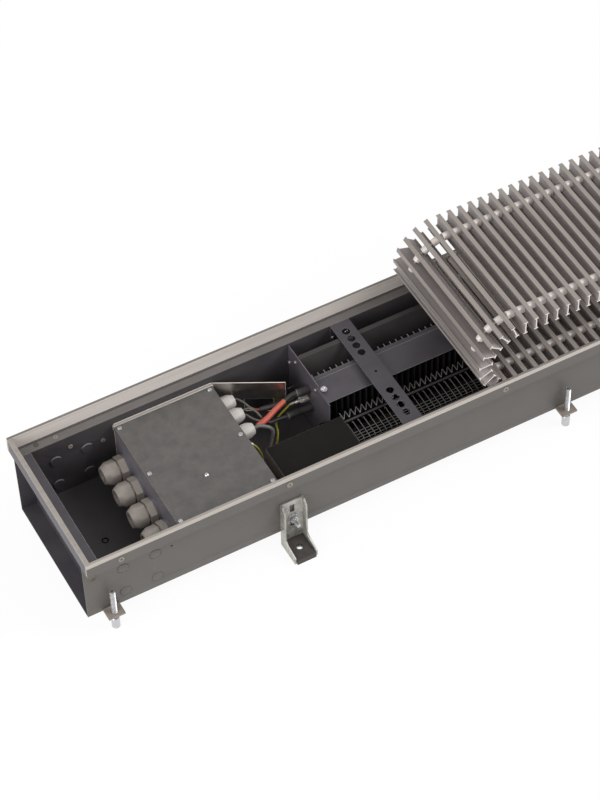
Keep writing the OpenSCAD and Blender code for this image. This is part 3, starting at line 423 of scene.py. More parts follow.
def smoothed(route, steps=6):
    """A route as one flowing curve through its points."""
    padded = [route[0] * 2 - route[1], *route, route[-1] * 2 - route[-2]]
    points = []
    for a, b, c, d in zip(padded, padded[1:], padded[2:], padded[3:]):
        for i in range(steps):
            t = i / steps
            points.append(0.5 * (2 * b + (c - a) * t + (2 * a - 5 * b + 4 * c - d) * t ** 2
                                 + (3 * b - a - 3 * c + d) * t ** 3))
    return points + [route[-1]]


def wires(name, routes, dia_mm, body, slot, stands_for=(), finish=None, radii=None, sides=2):
    """Round wires along routes. radii, if given, are shares of the radius at each point."""
    data = bpy.data.curves.new(name, "CURVE")
    data.dimensions = "3D"
    data.bevel_depth = dia_mm / 2 * MM
    data.bevel_resolution = sides
    data.use_fill_caps = True
    for route in routes:
        line = data.splines.new("POLY")
        line.points.add(len(route) - 1)
        for i, place in enumerate(route):
            line.points[i].co = (*place, 1)
            line.points[i].radius = radii[i] if radii else 1
    return place_piece(data, name, body, slot, stands_for, finish)


# %% [markdown]
# A sheet's cut edge and a moulding's corner are never perfectly sharp: a narrow bevel catches a
# thin line of light there. The CAD solids arrive as loose triangles, so a copy is welded, its flat
# faces are joined again, and a Bevel modifier rounds what is left of its edges.

# %% Edge-rounded copies of the CAD solids
BEVEL_STEPS = 2


def round_edges(piece, width_mm):
    """Rounds a piece's sharp edges."""
    bevel = piece.modifiers.new("rounded_edges", "BEVEL")
    bevel.width = width_mm * MM
    bevel.segments = BEVEL_STEPS
    bevel.limit_method = "ANGLE"
    bevel.angle_limit = SHARP_ANGLE
    bevel.use_clamp_overlap = True


def edged(node, width_mm, edge=None, cuts_mm=()):
    """A copy of a CAD node with rounded edges, shown in its place. edge is a lighter finish for the
    rounded edges, a painted highlight. cuts_mm are places along the trench where flat faces are divided."""
    shape = bmesh.new()
    shape.from_mesh(frame["nodes"][node].data)
    bmesh.ops.remove_doubles(shape, verts=shape.verts, dist=WELD)
    bmesh.ops.dissolve_limit(shape, angle_limit=FLAT_ANGLE, verts=shape.verts, edges=shape.edges)
    for cut in cuts_mm:
        bmesh.ops.bisect_plane(shape, geom=[*shape.verts, *shape.edges, *shape.faces],
                               plane_co=(cut * MM, 0, 0), plane_no=(1, 0, 0))
    piece = finished(shape, node + "_edged", BODY_OF[node], SLOT_OF[node], (node,))
    round_edges(piece, width_mm)
    if edge:
        piece.data.materials.append(finishes[edge])
        piece.modifiers[0].material = 1
    return piece


def repaint(piece, finish, chosen):
    """Gives the faces that a test picks a second finish."""
    piece.data.materials.append(finish)
    last = len(piece.data.materials) - 1
    for face in piece.data.polygons:
        if chosen(face):
            face.material_index = last


# The edge finishes are lighter than their faces: painted highlights along the rounded edges. The guard
# plate's edges take the far rim's near-white copy.
EDGE_FINISH = {"casing": "edge_highlight", "end_walls": "edge_highlight", "crossbars": "edge_highlight",
               "box_lid": "edge_highlight", "heater_ends": "soft_edge", "front_sheet": "soft_edge",
               "motor_cover": "edge_of_cover", "guard_plate": "rim_side"}
EDGE_MM = {"casing": 0.5, "end_walls": 0.3, "rim_sides": 0.3, "rim_ends": 0.3, "box_lid": 0.5,
           "box_body": 0.5, "crossbars": 0.5, "heater_ends": 0.5, "rear_deflector": 0.3,
           "front_sheet": 0.3, "motor_cover": 0.4, "guard_plate": 0.45,
           **{f"bracket_{i}": 0.4 for i in range(1, 5)}, **{f"pad_{i}": 0.8 for i in range(1, 5)},
           "screw_tabs": 0.3, "bracket_nuts": 0.4, "large_glands": 0.6, "small_glands": 0.8}
CUTS = {"casing": (-END_WALL, END_WALL)}
dressed = {node: edged(node, width_mm, EDGE_FINISH.get(node), CUTS.get(node, ()))
           for node, width_mm in EDGE_MM.items()}
print("Dressed nodes:", len(dressed))

# %% [markdown]
# The trench's inside, from one end wall to the other, and the short recesses beyond them take darker
# copies of the coat: painted shade. The rim's upright sides take lighter copies of its aluminium, the
# far side's the lightest, and the far side's top a darker one: painted light and shade. The ledges
# take a lighter copy of the casing's coat, painted light. The heater's ends are lighter than the cross
# bars, and the rear deflector is darker than both. The motor cover's left side shows brown primer.

# %% Inner faces
FACING = 0.9
WALL_TOP = 127.9
INNER_FACE = 96.5
FLOOR_ZONE = 30
LEDGE_ZONE = 120


def in_trench(face):
    """Whether a face lies between the end walls."""
    return abs(face.center.x) < END_WALL * MM


def looks_up(face, low_mm=-math.inf, high_mm=math.inf):
    """Whether a face looks up and lies between two heights."""
    return face.normal.z > FACING and low_mm * MM < face.center.z < high_mm * MM


def is_upright(face):
    """Whether a face looks across the trench."""
    return abs(face.normal.y) > FACING


def looks_in(face):
    """Whether a face looks across the trench to its middle."""
    return is_upright(face) and face.normal.y * face.center.y < 0


def lines_the_trench(face):
    """Whether a face is part of the floor or of a wall's inner side."""
    return in_trench(face) and face.center.z < WALL_TOP * MM and (
        looks_up(face, high_mm=FLOOR_ZONE) or looks_in(face) and abs(face.center.y) < INNER_FACE * MM)


for node, finish, chosen in (
        # Painted shade on the trench's floor and inner walls, and on the end recesses' inner faces.
        ("casing", "trench_inside", lines_the_trench),
        ("casing", "end_recess", lambda face: not in_trench(face) and looks_in(face)),
        ("casing", "inner_sheet",
         lambda face: not in_trench(face) and looks_up(face, high_mm=FLOOR_ZONE)),
        # Painted light on the ledges.
        ("casing", "ledge_coat", lambda face: looks_up(face, low_mm=LEDGE_ZONE)),
        # Painted light on the rim's upright faces, painted shade on the far rim's top.
        ("rim_sides", "rim_side", lambda face: is_upright(face) and face.center.y > 0),
        ("rim_sides", "rim_near_lip", lambda face: is_upright(face) and face.center.y < 0),
        ("rim_sides", "rim_far_top", lambda face: looks_up(face) and face.center.y > 0),
        ("heater_ends", "plate_coat", lambda face: True),
        ("crossbars", "crossbar_coat", lambda face: True),
        ("rear_deflector", "deflector_coat", lambda face: True),
        ("motor_cover", "primer_brown", lambda face: face.normal.x < -FACING)):
    repaint(dressed[node], finishes[finish], chosen)
    print(node, "has", finish)

# %% [markdown]
# The grille's bars are small I-beams sawn from one extrusion. Spacer sleeves hold them apart, and a
# spring runs through the sleeves from bar to bar, so that the grille rolls up like a mat. Where it
# folds, a few turns of the spring show between a sleeve and the next bar. The saw leaves the bars'
# ends bright. Drawing out one outline and copying it keeps every bar alike, as the saw does.

# %% Grille bars and sleeves
BAR_PITCH = 15.5
BAR_LENGTH = 216
BAR_MIDDLE = 139
FOLD_START = 592
FOLD_TURNS = [32, 21, 14, 21, 20, 19, 16, 16, 21]
FOLD_TRIM = 0.3
LOWER_BARS = 51
UPPER_BARS = 29
BAR_HALF = 10
FLANGE_SIDE = 3
FLANGE_INNER = 8.2
WEB_SIDE = 0.8
WEB_AREA = 2500 * MM ** 2
BAR_EDGE = 0.35
SLEEVE_Y = 78
SLEEVE_RADIUS = 5.3
SLEEVE_CHAMFER = 0.4
SLEEVE_GAP = 4
SPRING_TURNS = 4
SPRING_PITCH = 0.9
SPRING_ROOT = 1.1
SPRING_CREST = 1.5


def bar(trim_mm):
    """One bar, drawn out along the trench's width. trim_mm is taken off its lower flange."""
    low = trim_mm - BAR_HALF
    outline = [(-FLANGE_SIDE, low), (FLANGE_SIDE, low), (FLANGE_SIDE, -FLANGE_INNER),
               (WEB_SIDE, -FLANGE_INNER), (WEB_SIDE, FLANGE_INNER), (FLANGE_SIDE, FLANGE_INNER),
               (FLANGE_SIDE, BAR_HALF), (-FLANGE_SIDE, BAR_HALF), (-FLANGE_SIDE, FLANGE_INNER),
               (-WEB_SIDE, FLANGE_INNER), (-WEB_SIDE, -FLANGE_INNER), (-FLANGE_SIDE, -FLANGE_INNER)]
    return prism(outline, Vector((0, BAR_LENGTH / 2 * MM, 0)), (1, 0, 0), (0, 0, 1), BAR_LENGTH)


def sleeve(end_mm, turns=0):
    """A turned sleeve from a bar's web to end_mm, and then so many turns of spring."""
    neck = SLEEVE_RADIUS - SLEEVE_CHAMFER
    profile = [(WEB_SIDE, 0), (WEB_SIDE, neck), (WEB_SIDE + SLEEVE_CHAMFER, SLEEVE_RADIUS),
               (end_mm - SLEEVE_CHAMFER, SLEEVE_RADIUS), (end_mm, neck)]
    for i in range(turns):
        start = end_mm + i * SPRING_PITCH
        profile += [(start + 0.05, SPRING_ROOT), (start + SPRING_PITCH / 2, SPRING_CREST)]
    return lathe(profile + [(profile[-1][0], 0)], along=(1, 0, 0), steps=16)


def grille_part(name, body, node, placed, bar_shifts, sleeve_shifts, trim_mm, hinged):
    """The bars and sleeves of one body of the grille. placed is the frame of its first bar."""
    bars = bmesh.new()
    merge(bars, bar(trim_mm),
          [placed @ Matrix.Translation((shift * MM, 0, 0)) for shift in bar_shifts])
    bars = finished(bars, name + "_bars", body, "grille_metal", (node,))
    repaint(bars, finishes["sawn_end"], is_upright)
    # Painted light on the webs, against the shade between the bars.
    repaint(bars, finishes["grille_web"], lambda face: face.area > WEB_AREA)
    round_edges(bars, BAR_EDGE)
    sides = (-SLEEVE_Y, SLEEVE_Y)
    sleeves = bmesh.new()
    merge(sleeves, sleeve(BAR_PITCH - WEB_SIDE),
          [placed @ Matrix.Translation(Vector((shift, y, 0)) * MM)
           for shift in sleeve_shifts for y in sides])
    if hinged:
        merge(sleeves, sleeve(BAR_PITCH - SLEEVE_GAP, SPRING_TURNS),
              [placed @ Matrix.Translation(Vector((0, y, 0)) * MM) for y in sides])
    finished(sleeves, name + "_sleeves", body, "grille_metal", (node,), finishes["turned_sleeve"])


place = at(FOLD_START, 0, BAR_MIDDLE)
grille_part("grille_flat", BODY_OF["grille_lower"], "grille_lower", Matrix.Translation(place),
            [i * BAR_PITCH for i in range(LOWER_BARS)],
            [i * BAR_PITCH for i in range(LOWER_BARS - 1)], 0, False)
angle = 0
for k, turn_deg in enumerate(FOLD_TURNS, 1):
    angle += math.radians(turn_deg)
    place = place + Vector((-math.cos(angle), 0, math.sin(angle))) * BAR_PITCH * MM
    placed = Matrix.Translation(place) @ Matrix.Rotation(angle, 4, "Y")
    if k < len(FOLD_TURNS):
        grille_part(f"grille_curl_{k}", BODY_OF[f"curl_{k}"], f"curl_{k}", placed, [0], [],
                    FOLD_TRIM, True)
    else:
        grille_part("grille_top", BODY_OF["grille_upper"], "grille_upper", placed,
                    [-i * BAR_PITCH for i in range(UPPER_BARS)],
                    [-i * BAR_PITCH for i in range(1, UPPER_BARS)], FOLD_TRIM, True)
print("Grille bars:", LOWER_BARS + UPPER_BARS + len(FOLD_TURNS) - 1)

# %% [markdown]
# Screws are turned, and their recesses are cut. One pan head with a crossed recess is made once and
# copied to each place, turned a little each time, as a hand leaves them.

# %% Screw heads
LID_TOP = 118
LID_SCREWS = [(x, y) for x in (140.5, 269.5) for y in (-85.5, 0, 85.5)]
WALL_SCREWS = (12.6, TRENCH_LENGTH - 12.6)
WALL_SCREW_Z = 99.5
WALL_SCREW_TURN = 20
HEATER_END_X = 389.7
PLATE_SCREWS = ((94.0, 95, 10), (76.7, 112.1, 50), (22.9, 110.9, 30))
PLATE_HOLE = (85.3, 55.5)
random.seed(7)


def cross_head(radius, height):
    """A pan head with a crossed recess, standing on the plane z = 0."""
    head = lathe([(0, 0), (0, radius), (0.4 * height, radius), (0.8 * height, 0.86 * radius),
                  (height, 0.5 * radius), (height, 0)])
    for u, v in (((1, 0, 0), (0, 1, 0)), ((0, 1, 0), (-1, 0, 0))):
        wide, long = 0.17 * radius, 0.72 * radius
        outline = [(-long, -wide), (long, -wide), (long, wide), (-long, wide)]
        head = carved(head, prism(outline, Vector((0, 0, 0.35 * height * MM)), u, v, height))
    return head


def stood(centre, along, spin_deg=0):
    """The matrix that stands a part made along z at a place, looking along a direction."""
    turn = Vector((0, 0, 1)).rotation_difference(Vector(along)).to_matrix().to_4x4()
    return Matrix.Translation(centre) @ turn @ Matrix.Rotation(math.radians(spin_deg), 4, "Z")


def on_casing(shape, name, finish=None):
    """Makes a shape a piece of the casing."""
    return finished(shape, name, BODY_OF["casing"], "dark_sheet", (), finish and finishes[finish])


lid_heads = bmesh.new()
merge(lid_heads, cross_head(3.5, 1.8),
      [stood(at(x, y, LID_TOP), (0, 0, 1), random.uniform(0, 90)) for x, y in LID_SCREWS])
finished(lid_heads, "lid_screw_heads", BODY_OF["lid_screws"], "zinc", ("lid_screws",))

wall_heads = bmesh.new()
merge(wall_heads, cross_head(3.6, 0.9),
      [stood(at(x, -OUTER_WALL, WALL_SCREW_Z), (0, -1, 0), WALL_SCREW_TURN) for x in WALL_SCREWS])
merge(wall_heads, lathe([(0, 3.2), (0, 5.4), (0.7, 5.2), (1.1, 4.6), (0.8, 3.9), (0, 3.8)]),
      [stood(at(x, -OUTER_WALL, WALL_SCREW_Z), (0, -1, 0)) for x in WALL_SCREWS])
on_casing(wall_heads, "casing_screw_heads", "rod_metal")

plate_heads = bmesh.new()
merge(plate_heads, cross_head(2.6, 1.6),
      [stood(at(HEATER_END_X, y, z), (-1, 0, 0), turn) for y, z, turn in PLATE_SCREWS])
merge(plate_heads, lathe([(0, 0), (0, 0.7), (8.5, 0.7), (8.5, 0)]),
      [stood(at(HEATER_END_X, *PLATE_HOLE), (-1, 0, 0))])
finished(plate_heads, "heater_end_screws", BODY_OF["heater_ends"], "zinc")
print("Screw heads:", len(LID_SCREWS) + len(WALL_SCREWS) + len(PLATE_SCREWS))

# %% [markdown]
# Rivet nuts are round bushes with a threaded hole, pressed into the sheet. Three sit under the near
# rim and three smaller ones at the left end. The one on the ledge is sunk: the grille passes over it.

# %% Rivet nuts
RIM_NUTS = (46, 278, 590)
SMALL_NUTS = ((76.1, INNER_WALL, 109.2, (0, -1, 0)), (60.7, 103.9, 128.05, (0, 0, 1)),
              (120.9, INNER_WALL, 94.9, (0, -1, 0)))
SMALL_NUT_SHARE = 0.78
nuts = bmesh.new()
rivet_nut = [(-0.6, 1.5), (0, 1.5), (1.0, 1.7), (1.2, 2.3), (0.9, 4.1), (0, 4.3), (0, 1.5)]
small_nut = [(place, radius * SMALL_NUT_SHARE) for place, radius in rivet_nut]
for x in RIM_NUTS:
    merge(nuts, lathe(rivet_nut, at(x, -115, 137.5), (0, -1, 0)))
for x, y, z, along in SMALL_NUTS:
    merge(nuts, lathe(small_nut, at(x, y, z), along))
on_casing(nuts, "rivet_nuts", "tab_steel")
print("Rivet nuts:", len(RIM_NUTS) + len(SMALL_NUTS))

# %% [markdown]
# Knock-outs are discs that the press left hanging by a thread of metal, so that an electrician can
# push one out. They stand proud of the sheet, more so inside. The inner discs take the trench's
# painted shade, and their upward faces a painted highlight.

# %% Knock-outs
KNOCK_OUTS = [(x, z) for x in (54, 98, TRENCH_LENGTH - 54, TRENCH_LENGTH - 98) for z in (93.4, 47)]


def discs_on_walls(profile, wall_mm):
    """One disc for each knock-out of both walls. wall_mm is the wall whose discs look along +Y."""
    discs = bmesh.new()
    for x, z in KNOCK_OUTS:
        for side in (-1, 1):
            merge(discs, lathe(profile, at(x, side * wall_mm, z), (0, side, 0), 48))
    return discs


inner = on_casing(discs_on_walls([(0, 0), (0, 8.2), (1.1, 8.1), (1.7, 7.4), (1.7, 0)], -INNER_WALL),
                  "inner_knock_outs", "trench_inside")
# Painted highlight on the discs' upward faces.
repaint(inner, finishes["soft_edge"], lambda face: not is_upright(face) and face.normal.z > 0.3)
on_casing(discs_on_walls([(0, 0), (0, 7.4), (0.4, 7.2), (0.5, 6.9), (0.5, 0)], OUTER_WALL),
          "outer_knock_outs")
print("Knock-outs:", 2 * len(KNOCK_OUTS))

# %% [markdown]
# Thin dark discs fill the far ledge's open hole and the two holes of the near wall's service plate:
# painted shade where the holes would show the floor. A dark grommet in the floor's cable outlet
# stands in for the shade under it too.

# %% Painted shade in the holes, service plate and grommet
SPOT_DEPTH = 0.15
PLATE_FACE = 97.9
PLATE_HOLES = (454.9, 474.7)
# Painted shade: thin dark discs fill the holes, which would otherwise show the floor.
hole_shade_discs = bmesh.new()
merge(hole_shade_discs, lathe([(0, 0), (0, 3.7), (SPOT_DEPTH, 3.7), (SPOT_DEPTH, 0)]),
      [Matrix.Translation(at(33.9, 104.4, LEDGE_TOP))])
merge(hole_shade_discs, lathe([(0, 0), (0, 1.5), (SPOT_DEPTH, 1.5), (SPOT_DEPTH, 0)]),
      [stood(at(x, -PLATE_FACE, 106), (0, -1, 0)) for x in PLATE_HOLES])
on_casing(hole_shade_discs, "painted_hole_shade", "groove_dark")
service_plate = block(at(451, -PLATE_FACE, 101.5), at(478.6, -97.4, 110.5))
round_edges(on_casing(service_plate, "service_plate"), 0.2)
# Painted shade: the grommet's dark fill stands for the shade under the floor outlet.
grommet_profile = [(-1.6, 0), (-1.6, 2.8), (0, 2.8), (0.2, 5.2), (1.4, 4.6), (1.4, 3.0), (0.6, 2.4),
                   (0.6, 0)]
on_casing(lathe(grommet_profile, at(70.7, -1.3, 26.8)), "floor_grommet", "groove_dark")
print("Open holes:", 1 + len(PLATE_HOLES))

# %% [markdown]
# A dark strip lies on each ledge, at the rim's foot: painted shade in the corner under the rim.
# Behind the box its mounting flange stands up between the lid and the trench's wall; it takes the
# near rim lip's lighter finish, painted light. A nut on a washer holds the front sheet to the heater's
# end.

# %% Shade strips, box flange and sheet nut
STRIP_INSET = 7
STRIP_TOP = 130.2
NUT_X = 394.9
NUT_Y = 9.6
NUT_DROP = 0.2
# Painted shade: a dark strip in the corner where the ledge meets the rim.
shade_strip_shape = bmesh.new()
for side in (-1, 1):
    near, far = sorted((side * 108.6, side * 111.1))
    merge(shade_strip_shape, block(at(STRIP_INSET, near, LEDGE_TOP), at(TRENCH_LENGTH - STRIP_INSET, far, STRIP_TOP)))
on_casing(shade_strip_shape, "rim_foot_shade_strips", "groove_dark")
# Painted light: the flange takes the near rim lip's lighter copy of aluminium.
flange = finished(block(at(134.5, 90.4, 110), at(277.5, 94.6, 118.4)), "box_back_flange",
                  BODY_OF["box_body"], "box_plastic", (), finishes["rim_near_lip"])
round_edges(flange, 0.5)
sheet_nut = bmesh.new()
sheet_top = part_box("front_sheet")[1].z
nut_at = Vector((at(NUT_X, 0, 0).x, NUT_Y * MM, sheet_top - NUT_DROP * MM))
merge(sheet_nut, lathe([(0, 0), (0, 4.4), (0.7, 4.4), (0.7, 0)], nut_at))
merge(sheet_nut, lathe([(0.7, 0), (0.7, 3.2), (1, 3.5), (2.8, 3.5), (3.1, 3.2), (3.1, 0)], nut_at,
                       steps=6))
merge(sheet_nut, lathe([(3.1, 0), (3.1, 1.5), (4, 1.5), (4.3, 1.1), (4.3, 0)], nut_at))
finished(sheet_nut, "front_sheet_nut", BODY_OF["front_sheet"], "zinc")
print("Front sheet's top in mm:", round(sheet_top / MM, 1))

# %% [markdown]
# Each cross bar is held to the walls by four domed rivets, two at each end.

# %% Cross bar rivets
CROSS_BARS = (465.8, 750, 1034.2)
RIVET_SIDE = 10
RIVET_Y = 94.8
RIVET_Z = 106
rivets = bmesh.new()
dome = [(-2.7, 0), (-2.7, 1.5), (0, 1.5), (0, 3), (0.6, 2.8), (1.1, 2.0), (1.3, 0)]
for x in CROSS_BARS:
    for shift in (-RIVET_SIDE, RIVET_SIDE):
        for side in (-1, 1):
            merge(rivets, lathe(dome, at(x + shift, side * RIVET_Y, RIVET_Z), (0, -side, 0), 16))
finished(rivets, "crossbar_rivet_heads", BODY_OF["crossbar_rivets"], "zinc", ("crossbar_rivets",))
print("Rivets:", 4 * len(CROSS_BARS))

# %% [markdown]
# The lid's centre holds one slotted screw. The levelling screws are M8 studs with a hexagon socket
# in the top. A screw's thread is drawn as rings 1.25 mm apart, which at this slope no eye tells from
# a helix. Each screw stands in a round foot.

# %% Stud and levelling screws
THREAD_PITCH = 1.25
SCREW_TOP = 71.5
SCREW_LOW = 3
SOCKET_FLATS = 4
SOCKET_DEPTH = 5
STUD_TURN = 70
LEVEL_SCREWS = 6
FOOT = [(0, 0), (0, 5), (0.6, 5.5), (18.4, 5.5), (19, 5), (19, 3.6), (18.2, 3.6), (18.2, 0)]


def threaded(low, high, radius, pitch):
    """The profile of a threaded rod between two places along its axis."""
    rings = [(low, 0), (low, radius - pitch / 2)]
    for i in range(int((high - low) / pitch)):
        rings += [(low + (i + 0.25) * pitch, radius - pitch / 2), (low + (i + 0.5) * pitch, radius),
                  (low + (i + 0.75) * pitch, radius), (low + (i + 1) * pitch, radius - pitch / 2)]
    return rings + [(high, radius - pitch / 2), (high, 0)]


def socket_cutter(flats, low, high):
    """A six-sided solid for cutting a hexagon socket."""
    corner = flats / math.sqrt(3)
    return lathe([(low, 0), (low, corner), (high, corner), (high, 0)], steps=6)


def under(node):
    """The matrix that moves a part from the origin to the ground under a CAD node's middle."""
    low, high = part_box(node)
    return Matrix.Translation(Vector(((low.x + high.x) / 2, (low.y + high.y) / 2, 0)))


stud = carved(lathe([(0, 0), (0, 3.4), (0.8, 3.4), (1.6, 3.0), (2.6, 1.8), (3.0, 0)]),
              prism([(-5, -0.5), (5, -0.5), (5, 0.5), (-5, 0.5)], Vector((0, 0, 1.6 * MM)),
                    (1, 0, 0), (0, 1, 0), 4))
stud_body = bmesh.new()
stud_foot = Vector((0, 0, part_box("earth_stud")[0].z))
merge(stud_body, stud, [under("earth_stud") @ stood(stud_foot, (0, 0, 1), STUD_TURN)])
finished(stud_body, "earth_stud_screw", BODY_OF["earth_stud"], "zinc", ("earth_stud",))

for i in range(1, LEVEL_SCREWS + 1):
    node = f"level_screw_{i}"
    socket = socket_cutter(SOCKET_FLATS, SCREW_TOP - SOCKET_DEPTH, SCREW_TOP + 1)
    rod = carved(lathe(threaded(SCREW_LOW, SCREW_TOP, 4, THREAD_PITCH)), socket)
    screw = bmesh.new()
    for part in (rod, lathe(FOOT)):
        merge(screw, part, [under(node)])
    finished(screw, f"levelling_screw_{i}", BODY_OF[node], "zinc", (node,))
print("Levelling screws:", LEVEL_SCREWS)

# %% [markdown]
# Each bracket hangs on one M6 bolt, whose six-sided head is inside the trench.

# %% Bracket bolts
BOLT_X = (287.5, 1098.5)
BOLT_Z = 50
BOLT_RADIUS = 2.9
BOLT_PITCH = 1
HEAD = [(0, 0), (0, 5.2), (0.3, 5.77), (3.6, 5.77), (4, 5.2), (4, 0)]
bolts = bmesh.new()
for x in BOLT_X:
    for side in (-1, 1):
        merge(bolts, lathe(threaded(-1.2, 20, BOLT_RADIUS, BOLT_PITCH),
                           at(x, side * OUTER_WALL, BOLT_Z), (0, side, 0), 20))
        merge(bolts, lathe(HEAD, at(x, side * INNER_WALL, BOLT_Z), (0, -side, 0), 6))
finished(bolts, "bracket_bolt_set", BODY_OF["bracket_bolts"], "zinc", ("bracket_bolts",))
print("Bracket bolts:", 2 * len(BOLT_X))

# %% [markdown]
# Five cables and a short earth link run from the box to the heater, the motor and the floor. Each
# is a cord of known length between two fixed ends, so it is one flowing curve through the points of
# the CAD route. The red and black silicone sleeves slide over the wires, and rubber boots cover the
# two heater terminals.

# %% Cables
UPPER = [(296.7, 73, 94), (301, 73, 94), (306, 64, 94), (310, 54, 92), (317, 47, 90), (327, 45, 89),
         (337, 44, 88), (350, 43, 87), (366, 44, 87), (380, 46, 88), (389.7, 46, 88)]
RED = [(296.7, 45, 92), (300, 45, 92), (304, 36, 92), (309, 28, 93), (315, 25, 93), (323, 27, 93),
       (335, 33, 93), (347, 38, 93), (357, 41, 94), (366, 45, 95), (372, 46, 95), (376, 43.5, 96),
       (379.5, 41, 96), (381.7, 41, 96)]
LOWER = [(296.7, 51, 96), (300, 51, 96), (306, 48, 98), (312, 41, 96), (316, 35, 89), (320, 31, 82),
         (327, 29, 78), (338, 31, 75), (352, 31, 73), (365, 33, 70), (376, 34, 68), (381.7, 34, 68)]
MOTOR = [(296.7, 19.5, 94), (300, 19.5, 94), (305, 19, 94), (311, 17, 92), (318, 14, 88), (321, 12, 81),
         (318, 10, 71), (313, 6, 61), (308, 0, 53), (303, -8, 47), (300, -18, 45), (298, -29, 48),
         (300, -37, 52), (303, -38, 52), (306, -38, 52)]
EARTH = [(375, 42, 79.2), (372.5, 42, 79.2), (369, 43.5, 77.5), (364, 46, 74), (352, 44, 68),
         (344, 42, 64), (338, 36, 60), (335, 26, 57), (331, 20, 51), (327, 17, 42), (326, 16, 34),
         (326, 16, 28.2)]
LINK = [(274.2, 18, 76), (277, 18, 76), (282, 17, 76), (288, 14, 75), (294, 8, 71), (297, 3, 64),
        (298, 0, 56), (298, -2, 46), (298, -3, 36), (298, -3, 28.2)]


def route(points):
    """A flowing route in metres through points in mm."""
    return smoothed([at(*point) for point in points])


def run_length(points):
    """The length of a route in metres."""
    return sum((b - a).length for a, b in zip(points, points[1:]))


def cable(node, points, dia_mm, finish=None):
    """A cable from the box, in its CAD node's place."""
    line = route(points)
    piece = wires(node + "_run", [line], dia_mm, BODY_OF[node], SLOT_OF[node], (node,), finish, sides=3)
    print(node, "mm:", round(run_length(line) / MM, 1))


def sleeve_on(name, points, dia_mm, slot, shares=None, finish=None):
    """A sleeve over a cable. shares give its radius along the way."""
    line = route(points)
    radii = None
    if shares:
        spans = [i * (len(shares) - 1) / (len(line) - 1) for i in range(len(line))]
        after = (*shares[1:], shares[-1])
        radii = [shares[int(s)] + (after[int(s)] - shares[int(s)]) * (s % 1) for s in spans]
    return wires(name, [line], dia_mm, BODY_OF["cable_red"], slot, (), finish, radii, sides=3)


print("Route points:", [len(points) for points in (UPPER, RED, LOWER, MOTOR, EARTH, LINK)])

# %% [markdown]
# The upper wire carries a black sleeve with a dark red tip.

# %% Upper wire
dull_wire, tinned, lip = finishes["dull_wire"], finishes["tinned_lug"], finishes["lip_highlight"]
upper_sleeve = sleeve_on("upper_wire_sleeve",
                         [(320, 46.2, 89.7), (327, 45, 89), (337, 44, 88), (346, 43.3, 87.3)],
                         7, "black_cable", (0.85, 1.0, 1, 1.06))
upper_tip = sleeve_on("upper_wire_band", [(314.5, 49, 90.7), (317, 47, 90), (320, 46.2, 89.7)],
                      3.8, "red_sleeve", finish=finishes["dark_red_band"])
cable("cable_upper", UPPER, 3, dull_wire)

# %% [markdown]
# The red sleeve slides over the longer wire, then a black one, and then the boot of the heater's
# upper terminal, whose rolled lip is lighter grey: a painted highlight.

# %% Red wire
red_sleeve = sleeve_on("red_sleeve_run",
                       [(303, 21.5, 92), (313, 23.5, 92.5), (323, 27, 93), (335, 33, 93),
                        (347, 38, 93), (353, 40, 93.5)],
                       7.8, "red_sleeve", (0.85, 1.04, 1.02, 0.98, 0.95, 0.93))
black_sleeve = sleeve_on("red_cable_black_sleeve",
                         [(350, 39, 93.3), (357, 41, 94), (366, 43, 95), (374, 42, 96)],
                         6.6, "black_cable", (1, 0.98, 1.15, 1.3))
upper_boot = sleeve_on("upper_terminal_boot",
                       [(373, 42, 95.8), (376, 41, 96), (382, 41, 96), (389.5, 41, 96)],
                       12, "cap_black", (0.86, 1, 0.97, 1.0))
# Painted highlight on the upper boot's lip.
boot_ring = sleeve_on("upper_boot_lip", [(372.2, 42.2, 95.7), (373, 42, 95.8), (373.8, 41.8, 95.9)],
                      11.4, "cap_black", (0.94, 1, 0.94), lip)
cable("cable_red", RED, 3, dull_wire)

# %% [markdown]
# The lower wire wears a thin black sleeve, a thicker one whose lip is lighter grey, a painted highlight,
# and a boot.

# %% Lower wire
lower_sleeve = sleeve_on("lower_wire_sleeve",
                         [(322, 29.5, 80.5), (327, 29, 78), (338, 31, 75), (353, 31, 72.8)],
                         5.6, "black_cable", (0.9, 1, 0.98, 1.0))
# Painted highlight on the lower boot's lip.
lower_ring = sleeve_on("lower_boot_lip", [(352.3, 31, 73), (353, 31, 72.9), (353.7, 31.1, 72.8)],
                       8.8, "cap_black", (0.95, 1, 0.95), lip)
lower_boot = sleeve_on("lower_wire_boot",
                       [(353.5, 31.1, 72.7), (358, 31.8, 71.7), (365, 33, 70), (372, 33.6, 69)],
                       10.8, "cap_black", (0.8, 0.98, 1, 0.9))
rod_boot = sleeve_on("lower_terminal_boot",
                     [(371, 33.5, 69), (376, 34, 68), (382, 34, 68), (389.5, 34, 68)],
                     11.5, "cap_black", (0.85, 1, 1, 1))
cable("cable_lower", LOWER, 3, dull_wire)

# %% [markdown]
# The grey cable feeds the motor. The earth wire ends in a crimped lug with two rolled wings, and the
# short link in a ferrule.

# %% Motor cable, earth wire and link
cable("cable_motor", MOTOR, 5)
earth_crimp = sleeve_on("earth_crimp_barrel",
                        [(364.5, 45.8, 74.3), (369, 43.5, 77.5), (372.5, 42, 79.2), (378, 42, 79.2)],
                        4.8, "zinc", (0.75, 0.8, 1, 1.1), tinned)
cable("earth_wire", EARTH, 2.8)
link_tip = sleeve_on("link_ferrule", [(286, 15.2, 75.4), (288, 14, 75), (291, 11.2, 73.2)], 4.6, "zinc",
                     finish=tinned)
cable("earth_link", LINK, 2.6)

